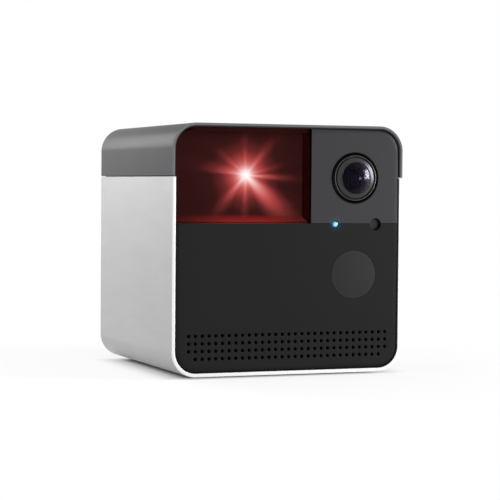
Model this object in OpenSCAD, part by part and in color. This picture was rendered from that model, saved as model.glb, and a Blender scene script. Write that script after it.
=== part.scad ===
// Pet camera: a small cube that stands on a shelf, with a wide lens, a speaker, an infrared lamp
// and a laser dot on a geared pan and tilt head behind a smoked window.
// Millimetres, +Z up, the front looks along -Y, origin under the middle of the base pad.
// Inside the modules y runs back from the casing's front edge and z up from the casing's underside.

/* [Casing] */
// Width of the casing, left to right
body_w = 80.6; // [78:0.2:96]
// Depth of the casing, front to back
body_d = 77.6; // [74:0.2:100]
// Height of the casing above its base pad
body_h = 81; // [80:0.2:92]
// Radius of the casing's four long edges
edge_r = 8.2; // [6:0.1:9]
// Wall of the metal shell and of the top cap
wall = 1.2; // [1:0.1:1.6]
// Rounding of the casing's front and back edges
lip_r = 0.4; // [0.2:0.05:0.45]
// Height of the top cap
cap_h = 17.1; // [13:0.1:23]
// Open line between the metal shell and the top cap
seam = 0.2; // [0.1:0.05:0.4]
// Depth of the cap's tongue inside the metal shell
tongue_lap = 4; // [2:0.5:6]
// Thickness of the cap's tongue
tongue_t = 1; // [0.8:0.1:1.4]

/* [Front face] */
// How far the front and back panels lie inside the casing's edge
face_recess = 0.3; // [0.1:0.05:0.6]
// Thickness of the front panels and of the rear cover
panel_t = 2; // [1.8:0.1:2.6]
// Rounding of the front panels' outer edges
panel_edge = 0.8; // [0.4:0.05:0.85]
// Thickness of the moulded frame behind the front panels
frame_t = 2.5; // [2:0.1:3]
// Share of the casing's height below the seam between the lower panel and the window
split_part = 0.605; // [0.59:0.005:0.63]
// Width from the casing's right side to the seam between the window and the camera plate
plate_w = 32.8; // [31.3:0.1:34.3]

/* [Laser chamber] */
// Depth of the chamber behind the window
chamber_d = 4.5; // [4:0.1:6]
// Wall of the chamber
chamber_wall = 1.2; // [1:0.1:1.5]
// Width of the ledge that the window is bonded to
window_lap = 0.5; // [0.4:0.05:0.9]
// Rise of the chamber's sloped sill
sill_rise = 1.8; // [1:0.1:2.4]
// How far the laser sits right of the chamber's middle
laser_shift = 1.9; // [-0.6:0.1:3.4]
// How far the laser sits below the window's middle
laser_low = 0.5; // [-0.4:0.1:1]

/* [Laser head] */
// Radius of the round hood that the laser looks out of
hood_r = 12; // [11.6:0.1:12.4]
// Wall of the hood
hood_t = 1.2; // [0.9:0.1:1.4]
// How far the hood bulges into the chamber
nose_out = 1.8; // [1.4:0.1:2.2]
// Pan to each side, in degrees
pan_swing = 30; // [10:1:32]
// Tilt downwards, in degrees
tilt_down = 25; // [10:1:26]
// Tilt upwards, in degrees
tilt_up = 10; // [4:1:12]
// Diameter of the laser module
laser_d = 6; // [5:0.1:6.2]
// Diameter of the laser's lens
laser_lens_d = 4.4; // [3:0.1:4.6]
// Wall of the cradle's collar
collar_wall = 1.1; // [0.9:0.1:1.3]
// Module of all gears
gear_module = 0.5; // [0.48:0.01:0.52]
// Teeth of the pan gear
pan_teeth = 32; // [30:1:32]
// Teeth of the tilt gear
tilt_teeth = 30; // [29:1:30]
// Teeth of both motor pinions
pinion_teeth = 12; // [12:1:14]
// Face width of the gears
gear_w = 1.5; // [1.2:0.1:1.8]
// Thickness of the yoke's plates and arms
yoke_t = 1.8; // [1.4:0.1:2]
// Diameter of the pan shaft
pan_shaft_d = 4.4; // [3.6:0.1:4.8]
// Diameter of the two tilt pins
tilt_pin_d = 2.2; // [1.6:0.1:2.6]
// Diameter of the pan motor
pan_motor_d = 10; // [8:0.2:11]
// Diameter of the tilt motor
tilt_motor_d = 7.6; // [6:0.1:8]
// Length of both motors
motor_len = 9; // [7:0.5:11]
// Diameter of the motor shafts
motor_shaft_d = 1.5; // [1:0.1:1.8]
// Thickness of the bracket under the laser head
bracket_t = 2; // [1.6:0.1:2.4]

/* [Camera] */
// Distance of the lens from the casing's right side
lens_side = 17.1; // [16.6:0.1:18.3]
// How far the lens sits below the window's middle
lens_low = 1.1; // [0:0.1:1.6]
// Outer diameter of the lens ring
ring_d = 16.6; // [15.6:0.1:17]
// Wall of the lens ring
ring_wall = 1.1; // [0.8:0.1:1.3]
// How far the lens ring stands out of the front
ring_proud = 0.4; // [0.3:0.1:0.7]
// How far the metal cone rises from its lip to the glass
cone_rise = 0.9; // [0.6:0.1:1.2]
// Diameter of the front glass
glass_d = 10.2; // [9.4:0.1:10.6]
// Rise of the front glass's dome
dome_h = 1.3; // [0.8:0.1:1.6]
// Length of the lens barrel behind the front glass
barrel_len = 11; // [9:0.5:13]
// Width and height of the camera's board
camera_board_w = 22; // [20:0.5:23]
// Width of the camera's ribbon cable
ribbon_w = 8; // [6:0.5:10]

/* [Lamp and sensors] */
// How far the infrared window sits above the middle between the grille and the seam
ir_lift = 0.5; // [-0.5:0.1:1.2]
// How far the infrared window sits left of the lens
ir_shift = 0.3; // [0:0.1:0.6]
// Diameter of the infrared window
ir_d = 15.9; // [14:0.1:16.2]
// Thickness of the infrared window
ir_window_t = 1.3; // [1:0.1:1.4]
// Number of infrared lamps
ir_lamps = 6; // [4:1:8]
// Diameter of one infrared lamp
ir_lamp_d = 3; // [2.4:0.1:3]
// How far the status light sits left of the lens
led_side = 6.9; // [6.2:0.1:7.2]
// How far the status light sits below the seam
led_low = 0.3; // [-0.2:0.1:0.5]
// Diameter of the status light
led_d = 1.6; // [1.2:0.1:2]
// How far the light sensor sits right of the lens
eye_side = 7.5; // [7:0.1:8]
// Diameter of the light sensor's port
eye_d = 3.8; // [3.2:0.1:4]
// Depth of the light sensor's port
eye_depth = 0.9; // [0.5:0.1:1.2]

/* [Speaker] */
// Holes in one full row of the grille
grille_columns = 31; // [27:2:31]
// Rows of the grille
grille_rows = 4; // [3:1:4]
// Room between the grille's end holes and the panel's sides
grille_side = 4.5; // [4.4:0.1:8]
// Spacing of the grille's rows
grille_pitch_z = 2.45; // [2:0.05:2.45]
// Height of the grille's middle
grille_z = 9.4; // [9.3:0.1:9.8]
// Diameter of one grille hole
grille_hole_d = 1.05; // [0.8:0.05:1.2]
// Width of the speaker
speaker_w = 46; // [40:1:50]
// Height of the speaker's body
speaker_h = 11; // [9:0.5:11]
// Depth of the speaker's body
speaker_d = 8; // [6:0.5:10]
// Diameter of the speaker's magnet
magnet_d = 10; // [8:0.5:11]

/* [Boards and back] */
// Thickness of the printed boards
board_t = 1.6; // [1:0.1:1.6]
// Height of the main board
main_board_h = 58; // [54:0.5:60]
// Room between the main board and the rear cover
port_room = 7.7; // [7.2:0.1:8.4]
// Width of the power socket
usb_w = 8.94; // [8.8:0.02:9.2]
// Height of the power socket
usb_h = 3.26; // [3.1:0.02:3.4]
// Width of the opening round the power socket
usb_port_w = 12.8; // [12:0.2:14]
// Height of the opening round the power socket
usb_port_h = 7; // [6.6:0.1:8]
// Height of the power socket and of the reset button
port_z = 14; // [13.4:0.1:16]
// Sideways place of the reset button
button_x = 15; // [14.6:0.1:18]
// Diameter of the reset button
button_d = 5; // [4:0.1:5.4]
// Travel of the reset button
button_travel = 0.6; // [0.3:0.05:0.7]
// Number of vent slots in the rear cover
vent_count = 9; // [5:2:11]
// Length of one vent slot
vent_len = 12; // [8:0.5:14]
// Width of one vent slot
vent_w = 1.4; // [1:0.1:1.8]
// Spacing of the vent slots
vent_pitch = 4; // [3.4:0.1:4.2]
// Distance of the vent slots' middle below the casing's top
vent_drop = 21; // [17:0.5:31]

/* [Base and fasteners] */
// Room between the base pad and the casing's left and right sides
pad_side = 9.3; // [9.2:0.1:12]
// Room between the base pad and the casing's front and back
pad_end = 6.8; // [6:0.1:7.4]
// Thickness of the rubber base pad
pad_t = 0.8; // [0.6:0.1:1.2]
// Diameter of the tripod thread
tripod_d = 6.35; // [6:0.05:6.6]
// Depth of the tripod thread
tripod_depth = 8; // [7:0.5:8.4]
// Outer diameter of the tripod insert
insert_d = 10; // [9.4:0.1:11]
// Diameter of all screws
screw_d = 2; // [1.6:0.1:2.2]
// Diameter of the screws' heads
head_d = 3.6; // [3.2:0.1:3.8]
// Height of the screws' heads
head_h = 1.1; // [0.9:0.05:1.15]

/* [Fits] */
// Gap between casing pieces
fit = 0.1; // [0.05:0.01:0.15]
// Radial gap of turning shafts and pins
run = 0.05; // [0.03:0.01:0.08]
// Gap round pieces that swing
swing = 0.3; // [0.25:0.05:0.4]

/* [Hidden] */
$fn = 64;
far = 200;
cut = 1;
slot_half = 0.2;
tip_gap = 0.2;
hole_r = screw_d / 2 + fit;
boss_wall = 1.4;
boss_r = screw_d / 2 + boss_wall;

// Inside of the casing and the outline shared by the front and back panels
inner_w = body_w - 2 * wall;
inner_r = edge_r - wall;
face_w = inner_w - 2 * fit;
face_z0 = wall + fit;
face_z1 = body_h - wall - fit;
face_r = inner_r - fit;
cone_sink = 0.1;
lens_out = ring_proud - face_recess - cone_sink + cone_rise + dome_h;
mid_y = (body_d - lens_out) / 2;
cap_z = body_h - cap_h;
split_z = body_h * split_part;
split_x = body_w / 2 - plate_w;
window_mid = (split_z + body_h) / 2;

// Layers from the front
face_y = face_recess;
frame_y = face_y + panel_t;
frame_back = frame_y + frame_t;
chamber_y = frame_y + chamber_d;
chamber_back = chamber_y + chamber_wall;

// Layers from the back
rear_face = body_d - face_recess;
rear_in = rear_face - panel_t;
board_back = rear_in - port_room;
board_front = board_back - board_t;
standoff = 1.5;
chassis_t = 2;
rear_ring_back = board_front - standoff;
rear_ring_front = rear_ring_back - chassis_t;

// Chamber's opening
chamber_rim = chamber_wall;
chamber_x1 = split_x - window_lap;
chamber_z0 = split_z + window_lap;
laser_x = (chamber_rim - face_w / 2 + chamber_x1) / 2 + laser_shift;
laser_z = window_mid - laser_low;

// Laser head: the pan and tilt axes cross at laser_x, gimbal_y, laser_z
nose_y = chamber_y - nose_out;
gimbal_y = nose_y + hood_r;
hood_in = hood_r - hood_t;
laser_r = laser_d / 2;
collar_r = laser_r + collar_wall;
laser_front = -sqrt(hood_r * hood_r - laser_r * laser_r);
lens_depth = 1.2;
lens_sink = 0.2;
lens_seat = laser_front + lens_depth;
lens_step = laser_front + lens_sink;
mouth_r = sqrt(pow(hood_r + swing, 2) - pow(gimbal_y - chamber_y, 2));
cover_deg = asin(mouth_r / (hood_r + swing)) + 1.5;
pin_clear = 0.4;
ear_x = collar_r + pin_clear;
tilt_gear_x = ear_x + run;
arm_x = tilt_gear_x + gear_w + 2 * fit;
arm_out = arm_x + yoke_t;
arm_half = 2;
ear_wall = 1.2;
ear_r = tilt_pin_d / 2 + ear_wall;
yoke_drop = 7.8;
yoke_floor = 1.5;
yoke_top = -yoke_drop;
yoke_z = yoke_top - yoke_floor;
tail = 4;
tail_out = 0.5;
plate_y = 6.5;
plate_rim = 1;
pressure = 20;
addendum = 0.8;
dedendum = 1.05;
backlash = 0.14;
flank_steps = 4;
pan_reach = gear_module * (pan_teeth + pinion_teeth) / 2 + run;
tilt_reach = gear_module * (tilt_teeth + pinion_teeth) / 2 + run;
hood_gap = 0.5;
pan_gear_top = -hood_r - hood_gap;
pan_gear_z = pan_gear_top - gear_w;
bush_flange = 0.4;
bush_lip = 0.8;
bracket_top = pan_gear_z - run - bush_flange;
bracket_z = bracket_top - bracket_t;
pan_shaft_r = pan_shaft_d / 2;
bush_wall = 1.2;
bush_r = pan_shaft_r + bush_wall;
clip_t = 0.6;
clip_groove = 0.4;
clip_rim = 1.2;
clip_mouth = 0.7;
shaft_tip = 0.8;
shaft_end = bracket_z - fit - clip_t - shaft_tip;
sleeve_wall = 1.2;
tilt_sleeve = 0.9;
sleeve_h = 3;
motor_bore = 5;
sector = 55;
plate_gap = 0.6;
plate_x = tilt_gear_x - plate_gap;
motor_x = plate_x - yoke_t;
bracket_y = chamber_back + chassis_t;
lug_drop = 3.2;
bracket_lug_z = bracket_z - lug_drop;
bracket_lug_x = 7;
bracket_half = 9.5;
flange_y = bracket_y - gimbal_y;

// Chassis
chassis_w = inner_w - 2 * (tongue_t + 2 * fit);
chassis_r = inner_r - tongue_t;
post_w = 5;
bar_h = 3.2;
rail_w = 5.5;
rail_h = 2.4;
rail_lap = 1;
rail_room = 2.6;
rail_x = chassis_w / 2 - post_w - rail_w + rail_lap;
rail_top = face_z1 - rail_room;
cap_screw_in = 2.4;
cap_pilot = rail_top + cap_screw_in;
cap_screw_x = rail_x + rail_w / 2;
cap_screw_front = 8;
cap_screw_back = 16;
cap_screw_y = [mid_y - cap_screw_front, mid_y + cap_screw_back];
front_screw_x = chassis_w / 2 - post_w / 2;
front_screw_in = 0.6;
front_pilot = frame_back - front_screw_in;
low_screw_z = 19.5;
side_screw_drop = 5;
top_screw_drop = 6;
front_screws_at = [
    [-front_screw_x, low_screw_z],
    [front_screw_x, low_screw_z],
    [-front_screw_x, split_z - side_screw_drop],
    [front_screw_x, face_z1 - top_screw_drop]
];
rear_lug_y = rear_ring_back + fit;
rear_screw_y = rear_lug_y + boss_r;
rear_lug_half = 3.5;
rear_lug_h = 5;
lug_top = 1;
base_pilot = face_z0 + rear_lug_h - lug_top;
insert_r = insert_d / 2;
insert_flange = 1.5;
insert_lip = 2;
insert_boss = 2.5;
pad_gap = 1;
insert_floor = 1;
boss_top = tripod_depth + insert_floor;
pad_w = body_w - 2 * pad_side;
pad_d = body_d - 2 * pad_end;
base_screw_in = 7;
base_screw_front = 24;
base_screw_back = 20;
base_screw_x = pad_w / 2 - base_screw_in;
base_screw_y = [mid_y - base_screw_front, mid_y + base_screw_back];

// Camera
lens_x = body_w / 2 - lens_side;
lens_z = window_mid - lens_low;
glass_r = glass_d / 2;
ring_r = ring_d / 2;
ring_in = ring_r - ring_wall;
ring_front = face_y - ring_proud;
cone_front = ring_front + cone_sink;
cone_lip = 0.25;
cone_groove = 0.4;
cone_groove_d = 0.6;
cone_crest = 0.2;
glass_y = cone_front - cone_rise;
glass_t = 1.9;
glass_back = glass_y + glass_t;
glass_bevel = 0.6;
ring_soft = 0.3;
ring_flange = 1.2;
ring_flange_out = 0.9;
ring_back = frame_back + ring_flange;
barrel_y = glass_back + run;
barrel_back = barrel_y + barrel_len;
camera_back = barrel_back + board_t;
barrel_wall = 1.2;
barrel_rim = 0.4;
board_edge = 3;
camera_board_h = 19;
sensor_w = 4.8;
sensor_h = 3.6;
sensor_t = 0.9;
camera_screw_in = 5;
camera_screw_side = 11;
camera_screw_half = 7;
camera_pilot = barrel_back - camera_screw_in;
camera_screw_x = lens_x - camera_screw_side;
camera_screw_z = [lens_z - camera_screw_half, lens_z + camera_screw_half];
ribbon_low = 5;
ribbon_z = lens_z - ribbon_low;
ribbon_t = 0.3;
plug_h = 2.4;
plug_d = 2;

// Grille, infrared lamp and the small sensors
slot_margin = 1.3;
slot_w = face_w - 2 * grille_side + 2 * slot_margin;
slot_h = (grille_rows - 1) * grille_pitch_z + 2 * slot_margin;
grille_pitch_x = (face_w - 2 * grille_side) / (grille_columns - 1);
ir_x = lens_x - ir_shift;
ir_z = (split_z + grille_z + slot_h / 2) / 2 + ir_lift;
ir_r = ir_d / 2;
ir_ledge = 1.1;
ir_tube_wall = 1.1;
ir_tube_lap = 1;
ir_tube_r = ir_r + ir_tube_wall;
ir_tube_back = chamber_back + ir_tube_lap;
ir_lamp_gap = 0.4;
ir_lamp_pcd = ir_r - ir_ledge - ir_lamp_d / 2 - ir_lamp_gap;
led_x = lens_x - led_side;
led_z = split_z - led_low;
eye_x = lens_x + eye_side;
eye_z = led_z;
eye_r = eye_d / 2;
led_r = led_d / 2;
small_board_room = 1.7;
small_board_y = frame_back + small_board_room;
small_board_t = 1;
small_board_h = 6.4;
post_h = 2;
chip_h = 0.8;
chip_w = 2;
led_chip_h = 1;
pipe_flange = 0.5;
eye_step = 0.5;
ir_lamp_len = 3;

// Speaker
cloth_t = 0.3;
speaker_lift = 1.6;
speaker_z = grille_z + speaker_lift;
speaker_lip = 2;
speaker_y = frame_back + speaker_lip;
speaker_back = speaker_y + speaker_d;
speaker_ear = 4;
ear_gap = 0.6;
speaker_screw_z = grille_z + slot_h / 2 + screw_d + ear_gap;
speaker_wall = 1.2;
frame_skin = 0.4;
speaker_pilot = frame_y + frame_skin;
cone_in = 1;
cone_y = frame_back + cone_in;
cone_t = 0.5;
dust_cap_r = 3;
dust_cap_in = 0.4;
dust_cap_y = frame_back + dust_cap_in;
magnet_len = 4;
magnet_step = 1;

// Main board and back
board_gap = 0.5;
main_board_w = chassis_w - 2 * board_gap;
main_board_z = 7;
board_screw_z = [main_board_z + board_edge, main_board_z + main_board_h - board_edge];
board_boss_wall = 1.2;
board_boss_r = screw_d / 2 + board_boss_wall;
can_x = -19;
can_z = 26;
can_w = 30;
can_h = 24;
can_d = 2.4;
can_t = 0.3;
vent_z = body_h - vent_drop;
usb_lap = 1;
usb_foot = 2;
usb_back = rear_in + usb_lap;
usb_wall = 0.3;
usb_floor = board_back + usb_foot;
usb_lead = 0.8;
tongue_w = 6.8;
tongue_h = 0.7;
button_r = button_d / 2;
button_sink = 0.2;
button_face = rear_face - button_sink;
button_lip = 1;
button_lip_out = 0.8;
button_stem_r = 1.2;
switch_w = 6;
switch_h = 3.6;
switch_top = board_back + switch_h;
plunger_r = 1.4;
plunger_out = 0.9;
plunger_seat = 1.4;
plunger_top = switch_top + plunger_out;
plunger_foot = board_back + plunger_seat;

// Moves a piece from the casing's front lower edge to the part's own frame
module in_body() {
    translate([0, -mid_y, pad_t]) children();
}

// Moves a piece from the crossing of the laser's two axes into the casing
module at_gimbal() {
    in_body() translate([laser_x, gimbal_y, laser_z]) children();
}

module block(x0, x1, y0, y1, z0, z1) {
    translate([x0, y0, z0]) cube([x1 - x0, y1 - y0, z1 - z0]);
}

module rod_x(y, z, r, x0, x1) {
    translate([x0, y, z]) rotate([0, 90, 0]) cylinder(r = r, h = x1 - x0);
}

module rod_y(x, z, r, y0, y1) {
    translate([x, y0, z]) rotate([-90, 0, 0]) cylinder(r = r, h = y1 - y0);
}

module rod_z(x, y, r, z0, z1) {
    translate([x, y, z0]) cylinder(r = r, h = z1 - z0);
}

// Carries an upright outline in x and z from y0 to y1
module along_y(y0, y1) {
    translate([0, y1, 0]) rotate([90, 0, 0]) linear_extrude(y1 - y0) children();
}

// Carries an outline in y and z from x0 to x1
module along_x(x0, x1) {
    translate([x0, 0, 0]) rotate([90, 0, 90]) linear_extrude(x1 - x0) children();
}

// Turns a section of radius and depth about an axis that runs back through x, z
module turned(x, z) {
    translate([x, 0, z]) rotate([-90, 0, 0]) rotate_extrude() children();
}

// Rectangle with four round corners
module round_rect(x0, x1, y0, y1, r) {
    translate([x0, y0 + r]) square([x1 - x0, y1 - y0 - 2 * r]);
    translate([x0 + r, y0]) square([x1 - x0 - 2 * r, y1 - y0]);
    for (x = [x0 + r, x1 - r], y = [y0 + r, y1 - r]) {
        translate([x, y]) circle(r);
    }
}

// Slab with round corners seen from the front, and its front and back edges rounded by e
module soft_slab(w, z0, z1, r, y0, y1, e) {
    along_x(-w / 2 + r, w / 2 - r) round_rect(y0, y1, z0, z1, e);
    translate([0, 0, z0 + r]) linear_extrude(z1 - z0 - 2 * r) round_rect(-w / 2, w / 2, y0, y1, e);
    for (x = [-w / 2 + r, w / 2 - r], z = [z0 + r, z1 - r]) {
        turned(x, z) intersection() {
            round_rect(-r, r, y0, y1, e);
            translate([0, y0]) square([r, y1 - y0]);
        }
    }
}

// Outline shared by the front panels, the frame behind them and the rear cover
module face_outline(inset = 0) {
    round_rect(-face_w / 2 + inset, face_w / 2 - inset, face_z0 + inset, face_z1 - inset, face_r - inset);
}

// Front slab, cut to the part right of x0, left of x1, above z0 and below z1
module face_piece(x0, x1, z0, z1) {
    intersection() {
        soft_slab(face_w, face_z0, face_z1, face_r, face_y, frame_y, panel_edge);
        block(x0, x1, -far, far, z0, z1);
    }
}

// Casing's tube with its front and back edges rounded
module casing_tube() {
    difference() {
        soft_slab(body_w, 0, body_h, edge_r, 0, body_d, lip_r);
        along_y(-cut, body_d + cut) round_rect(-inner_w / 2, inner_w / 2, wall, body_h - wall, inner_r);
    }
}

// Pan head screw along +y with its head's underside at y0 and its tip at y1
module screw_y(x, z, y0, y1) {
    rod_y(x, z, screw_d / 2, y0, y1);
    difference() {
        rod_y(x, z, head_d / 2, y0 - head_h, y0);
        block(x - head_d, x + head_d, y0 - 2 * head_h, y0 - head_h / 2, z - slot_half,
            z + slot_half);
    }
}

// The same screw the other way round, driven from behind
module screw_back(x, z, y0, y1) {
    translate([0, y0, 0]) mirror([0, 1, 0]) translate([0, -y0, 0]) screw_y(x, z, y0, 2 * y0 - y1);
}

// Holes of the grille: the lowest row is one hole shorter at each end
module grille_holes() {
    for (row = [0:grille_rows - 1], column = [0:grille_columns - 1]) {
        x = (column - (grille_columns - 1) / 2) * grille_pitch_x;
        z = grille_z + (row - (grille_rows - 1) / 2) * grille_pitch_z;
        if (row > 0 || (column > 0 && column < grille_columns - 1)) {
            translate([x, z]) circle(d = grille_hole_d, $fn = 24);
        }
    }
}

// Angle by which an involute has turned where its radius is k times its base radius
function involute(k) = let (a = acos(1 / k)) tan(a) * 180 / PI - a;

// Spur gear outline with one tooth pointing at the angle turn
module gear_outline(teeth, turn) {
    pitch_r = gear_module * teeth / 2;
    base_r = pitch_r * cos(pressure);
    tip_r = pitch_r + addendum * gear_module;
    root_r = pitch_r - dedendum * gear_module;
    start_r = max(base_r, root_r);
    half = 90 / teeth - backlash / 4 / pitch_r * 180 / PI + involute(pitch_r / base_r);
    radii = [for (i = [0:flank_steps]) start_r + (tip_r - start_r) * i / flank_steps];
    side = [for (r = radii) [r, half - involute(r / base_r)]];
    rise = concat([[root_r, side[0][1]]], side);
    last = len(rise) - 1;
    polygon([
        for (tooth = [0:teeth - 1], up = [-1, 1], i = [0:last])
            let (p = rise[up < 0 ? i : last - i], a = turn + tooth * 360 / teeth + up * p[1])
                p[0] * [cos(a), sin(a)]
    ]);
}

// Casing

module lower_shell() {
    color("silver") in_body() difference() {
        intersection() {
            casing_tube();
            block(-far, far, -far, far, -far, cap_z);
        }
        rod_z(0, mid_y, insert_r + fit, -cut, wall + cut);
        for (p = base_screw_places()) {
            translate([p[0], p[1], -fit]) {
                cylinder(r1 = head_d / 2 + 2 * fit, r2 = hole_r, h = head_h + fit);
            }
            rod_z(p[0], p[1], hole_r, -cut, wall + cut);
        }
    }
}

module top_cap() {
    color("dimgray") in_body() {
        intersection() {
            casing_tube();
            block(-far, far, -far, far, cap_z + seam, far);
        }
        for (side = [-1, 1]) {
            mirror([side < 0 ? 1 : 0, 0, 0]) {
                block(inner_w / 2 - fit - tongue_t, inner_w / 2 - fit, tongue_y0(), tongue_y1(),
                    cap_z - tongue_lap, cap_z + tongue_lap);
                block(inner_w / 2 - fit - tongue_t, inner_w / 2 + wall / 2, tongue_y0(), tongue_y1(),
                    cap_z + seam, cap_z + tongue_lap);
            }
        }
        for (side = [-1, 1], y = cap_screw_y) {
            difference() {
                rod_z(side * cap_screw_x, y, boss_r, rail_top + fit, body_h - wall / 2);
                rod_z(side * cap_screw_x, y, hole_r, rail_top, cap_pilot);
            }
        }
    }
}

function tongue_y0() = chamber_back + swing;
function tongue_y1() = rear_in - swing;
function base_screw_places() = concat(
    [for (x = [-base_screw_x, base_screw_x], y = base_screw_y) [x, y]],
    [for (x = [-base_screw_x, base_screw_x]) [x, rear_screw_y]]
);

module rear_cover() {
    color("dimgray") in_body() {
        difference() {
            soft_slab(face_w, face_z0, face_z1, face_r, rear_in, rear_face, panel_edge);
            along_y(rear_in - cut, body_d) {
                round_rect(-usb_port_w / 2, usb_port_w / 2, port_z - usb_port_h / 2,
                    port_z + usb_port_h / 2, usb_port_h / 2 - fit);
            }
            rod_y(button_x, port_z, button_r + fit, rear_in - cut, body_d);
            along_y(rear_in - cut, body_d) vent_slots();
        }
        for (x = [-base_screw_x, base_screw_x]) {
            difference() {
                block(x - rear_lug_half, x + rear_lug_half, rear_lug_y, rear_in + panel_t / 2,
                    face_z0, face_z0 + rear_lug_h);
                rod_z(x, rear_screw_y, hole_r, 0, base_pilot);
            }
        }
    }
}

module vent_slots() {
    for (i = [0:vent_count - 1]) {
        x = (i - (vent_count - 1) / 2) * vent_pitch;
        round_rect(x - vent_w / 2, x + vent_w / 2, vent_z - vent_len / 2, vent_z + vent_len / 2,
            vent_w / 2 - fit / 2);
    }
}

module front_panel() {
    color([0.13, 0.13, 0.14]) in_body() difference() {
        face_piece(-far, far, -far, split_z - fit / 2);
        along_y(-cut, frame_y + cut) {
            grille_holes();
            translate([ir_x, ir_z]) circle(ir_r - ir_ledge);
            translate([led_x, led_z]) circle(led_r + fit);
            translate([eye_x, eye_z]) circle(eye_r + fit);
        }
        rod_y(ir_x, ir_z, ir_r + fit, -cut, face_y + ir_window_t);
    }
}

module laser_window() {
    color([0.25, 0.05, 0.06, 0.6]) in_body() {
        face_piece(-far, split_x - fit / 2, split_z + fit / 2, far);
    }
}

module camera_plate() {
    color([0.28, 0.28, 0.3]) in_body() difference() {
        face_piece(split_x + fit / 2, far, split_z + fit / 2, far);
        along_y(-cut, frame_y + cut) {
            translate([lens_x, lens_z]) circle(ring_r + fit);
            translate([led_x, led_z]) circle(led_r + fit);
            translate([eye_x, eye_z]) circle(eye_r + fit);
        }
    }
}

// Moulding behind the front panels: a plate, the laser's chamber, a tube for the lamp and bosses
module front_frame() {
    color([0.1, 0.1, 0.11]) in_body() {
        difference() {
            union() {
                along_y(frame_y, frame_back) face_outline();
                along_y(frame_y, chamber_back) intersection() {
                    face_outline();
                    translate([-far, chamber_z0 - chamber_wall]) {
                        square([far + chamber_x1 + chamber_wall, far]);
                    }
                }
                rod_y(ir_x, ir_z, ir_tube_r, frame_y, ir_tube_back);
                frame_bosses();
            }
            along_y(frame_y - cut, chamber_y) intersection() {
                face_outline(chamber_rim);
                translate([-far, chamber_z0]) square([far + chamber_x1, far]);
            }
            translate([laser_x, gimbal_y, laser_z]) sphere(r = hood_r + swing);
            along_y(frame_y - cut, ir_tube_back + cut) {
                translate([ir_x, ir_z]) circle(ir_r - ir_ledge);
                translate([lens_x, lens_z]) circle(ring_r + fit);
            }
            rod_y(led_x, led_z, led_r + fit, frame_y - cut, ir_tube_back);
            rod_y(eye_x, eye_z, eye_r - eye_step, frame_y - cut, ir_tube_back);
            block(-slot_w / 2, slot_w / 2, frame_y - cut, frame_back + cut,
                grille_z - slot_h / 2, grille_z + slot_h / 2);
            frame_pilots();
        }
        along_x(-face_w / 2 + chamber_rim / 2, chamber_x1 + chamber_wall / 2) polygon([
            [frame_y, chamber_z0 - chamber_wall / 2],
            [frame_y, chamber_z0],
            [chamber_y, chamber_z0 + sill_rise],
            [chamber_y + chamber_wall / 2, chamber_z0 + sill_rise],
            [chamber_y + chamber_wall / 2, chamber_z0 - chamber_wall / 2]
        ]);
    }
}

module frame_bosses() {
    for (p = front_screws_at) {
        rod_y(p[0], p[1], boss_r, frame_y, chamber_back);
    }
    for (side = [-1, 1]) {
        rod_y(laser_x + side * bracket_lug_x, laser_z + bracket_lug_z, boss_r, frame_y, bracket_y);
    }
    for (z = camera_screw_z) {
        rod_y(camera_screw_x, z, boss_r, frame_y, barrel_back);
    }
    block(led_x + led_d, eye_x - eye_d, frame_y, small_board_y, eye_z - post_h / 2, eye_z + post_h / 2);
}

module frame_pilots() {
    for (p = front_screws_at) {
        rod_y(p[0], p[1], hole_r, front_pilot, chamber_back + cut);
    }
    for (side = [-1, 1]) {
        rod_y(laser_x + side * bracket_lug_x, laser_z + bracket_lug_z, hole_r, frame_back, bracket_y + cut);
        rod_y(side * speaker_screw_x(), speaker_screw_z, hole_r, speaker_pilot, frame_back + cut);
    }
    for (z = camera_screw_z) {
        rod_y(camera_screw_x, z, hole_r, camera_pilot, barrel_back + cut);
    }
}

function speaker_screw_x() = speaker_w / 2 - speaker_ear / 2;

// Inner skeleton: a floor, a ring at each end, two rails and the bosses for the base's screws
module chassis() {
    color([0.2, 0.2, 0.21]) in_body() difference() {
        union() {
            chassis_ring(chamber_back, chamber_back + chassis_t);
            chassis_ring(rear_ring_front, rear_ring_back);
            block(-chassis_w / 2 + chassis_r, chassis_w / 2 - chassis_r, chamber_back, rear_ring_back,
                face_z0, face_z0 + chassis_t);
            for (side = [-1, 1]) {
                mirror([side < 0 ? 1 : 0, 0, 0]) {
                    block(rail_x, rail_x + rail_w, chamber_back, rear_ring_back,
                        rail_top - rail_h, rail_top);
                }
                for (y = base_screw_y) {
                    rod_z(side * base_screw_x, y, boss_r, face_z0, face_z0 + rear_lug_h);
                }
                for (z = board_screw_z) {
                    rod_y(side * front_screw_x, z, board_boss_r, rear_ring_front, board_front);
                }
            }
            rod_z(0, mid_y, insert_r + insert_boss, face_z0, boss_top);
        }
        rod_z(0, mid_y, insert_r + fit, 0, boss_top + cut);
        for (side = [-1, 1], y = base_screw_y) {
            rod_z(side * base_screw_x, y, hole_r, 0, base_pilot);
        }
        for (side = [-1, 1], y = cap_screw_y) {
            rod_z(side * cap_screw_x, y, hole_r, rail_top - rail_h - cut, rail_top + cut);
        }
        for (p = front_screws_at) {
            rod_y(p[0], p[1], hole_r, chamber_back - cut, chamber_back + chassis_t + cut);
        }
        for (side = [-1, 1], z = board_screw_z) {
            rod_y(side * front_screw_x, z, hole_r, rear_ring_front - cut, board_front + cut);
        }
    }
}

module chassis_ring(y0, y1) {
    along_y(y0, y1) difference() {
        round_rect(-chassis_w / 2, chassis_w / 2, face_z0, face_z1, chassis_r);
        translate([-chassis_w / 2 + post_w, face_z0 + bar_h]) {
            square([chassis_w - 2 * post_w, face_z1 - face_z0 - 2 * bar_h]);
        }
    }
}

// Base and fasteners

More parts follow.
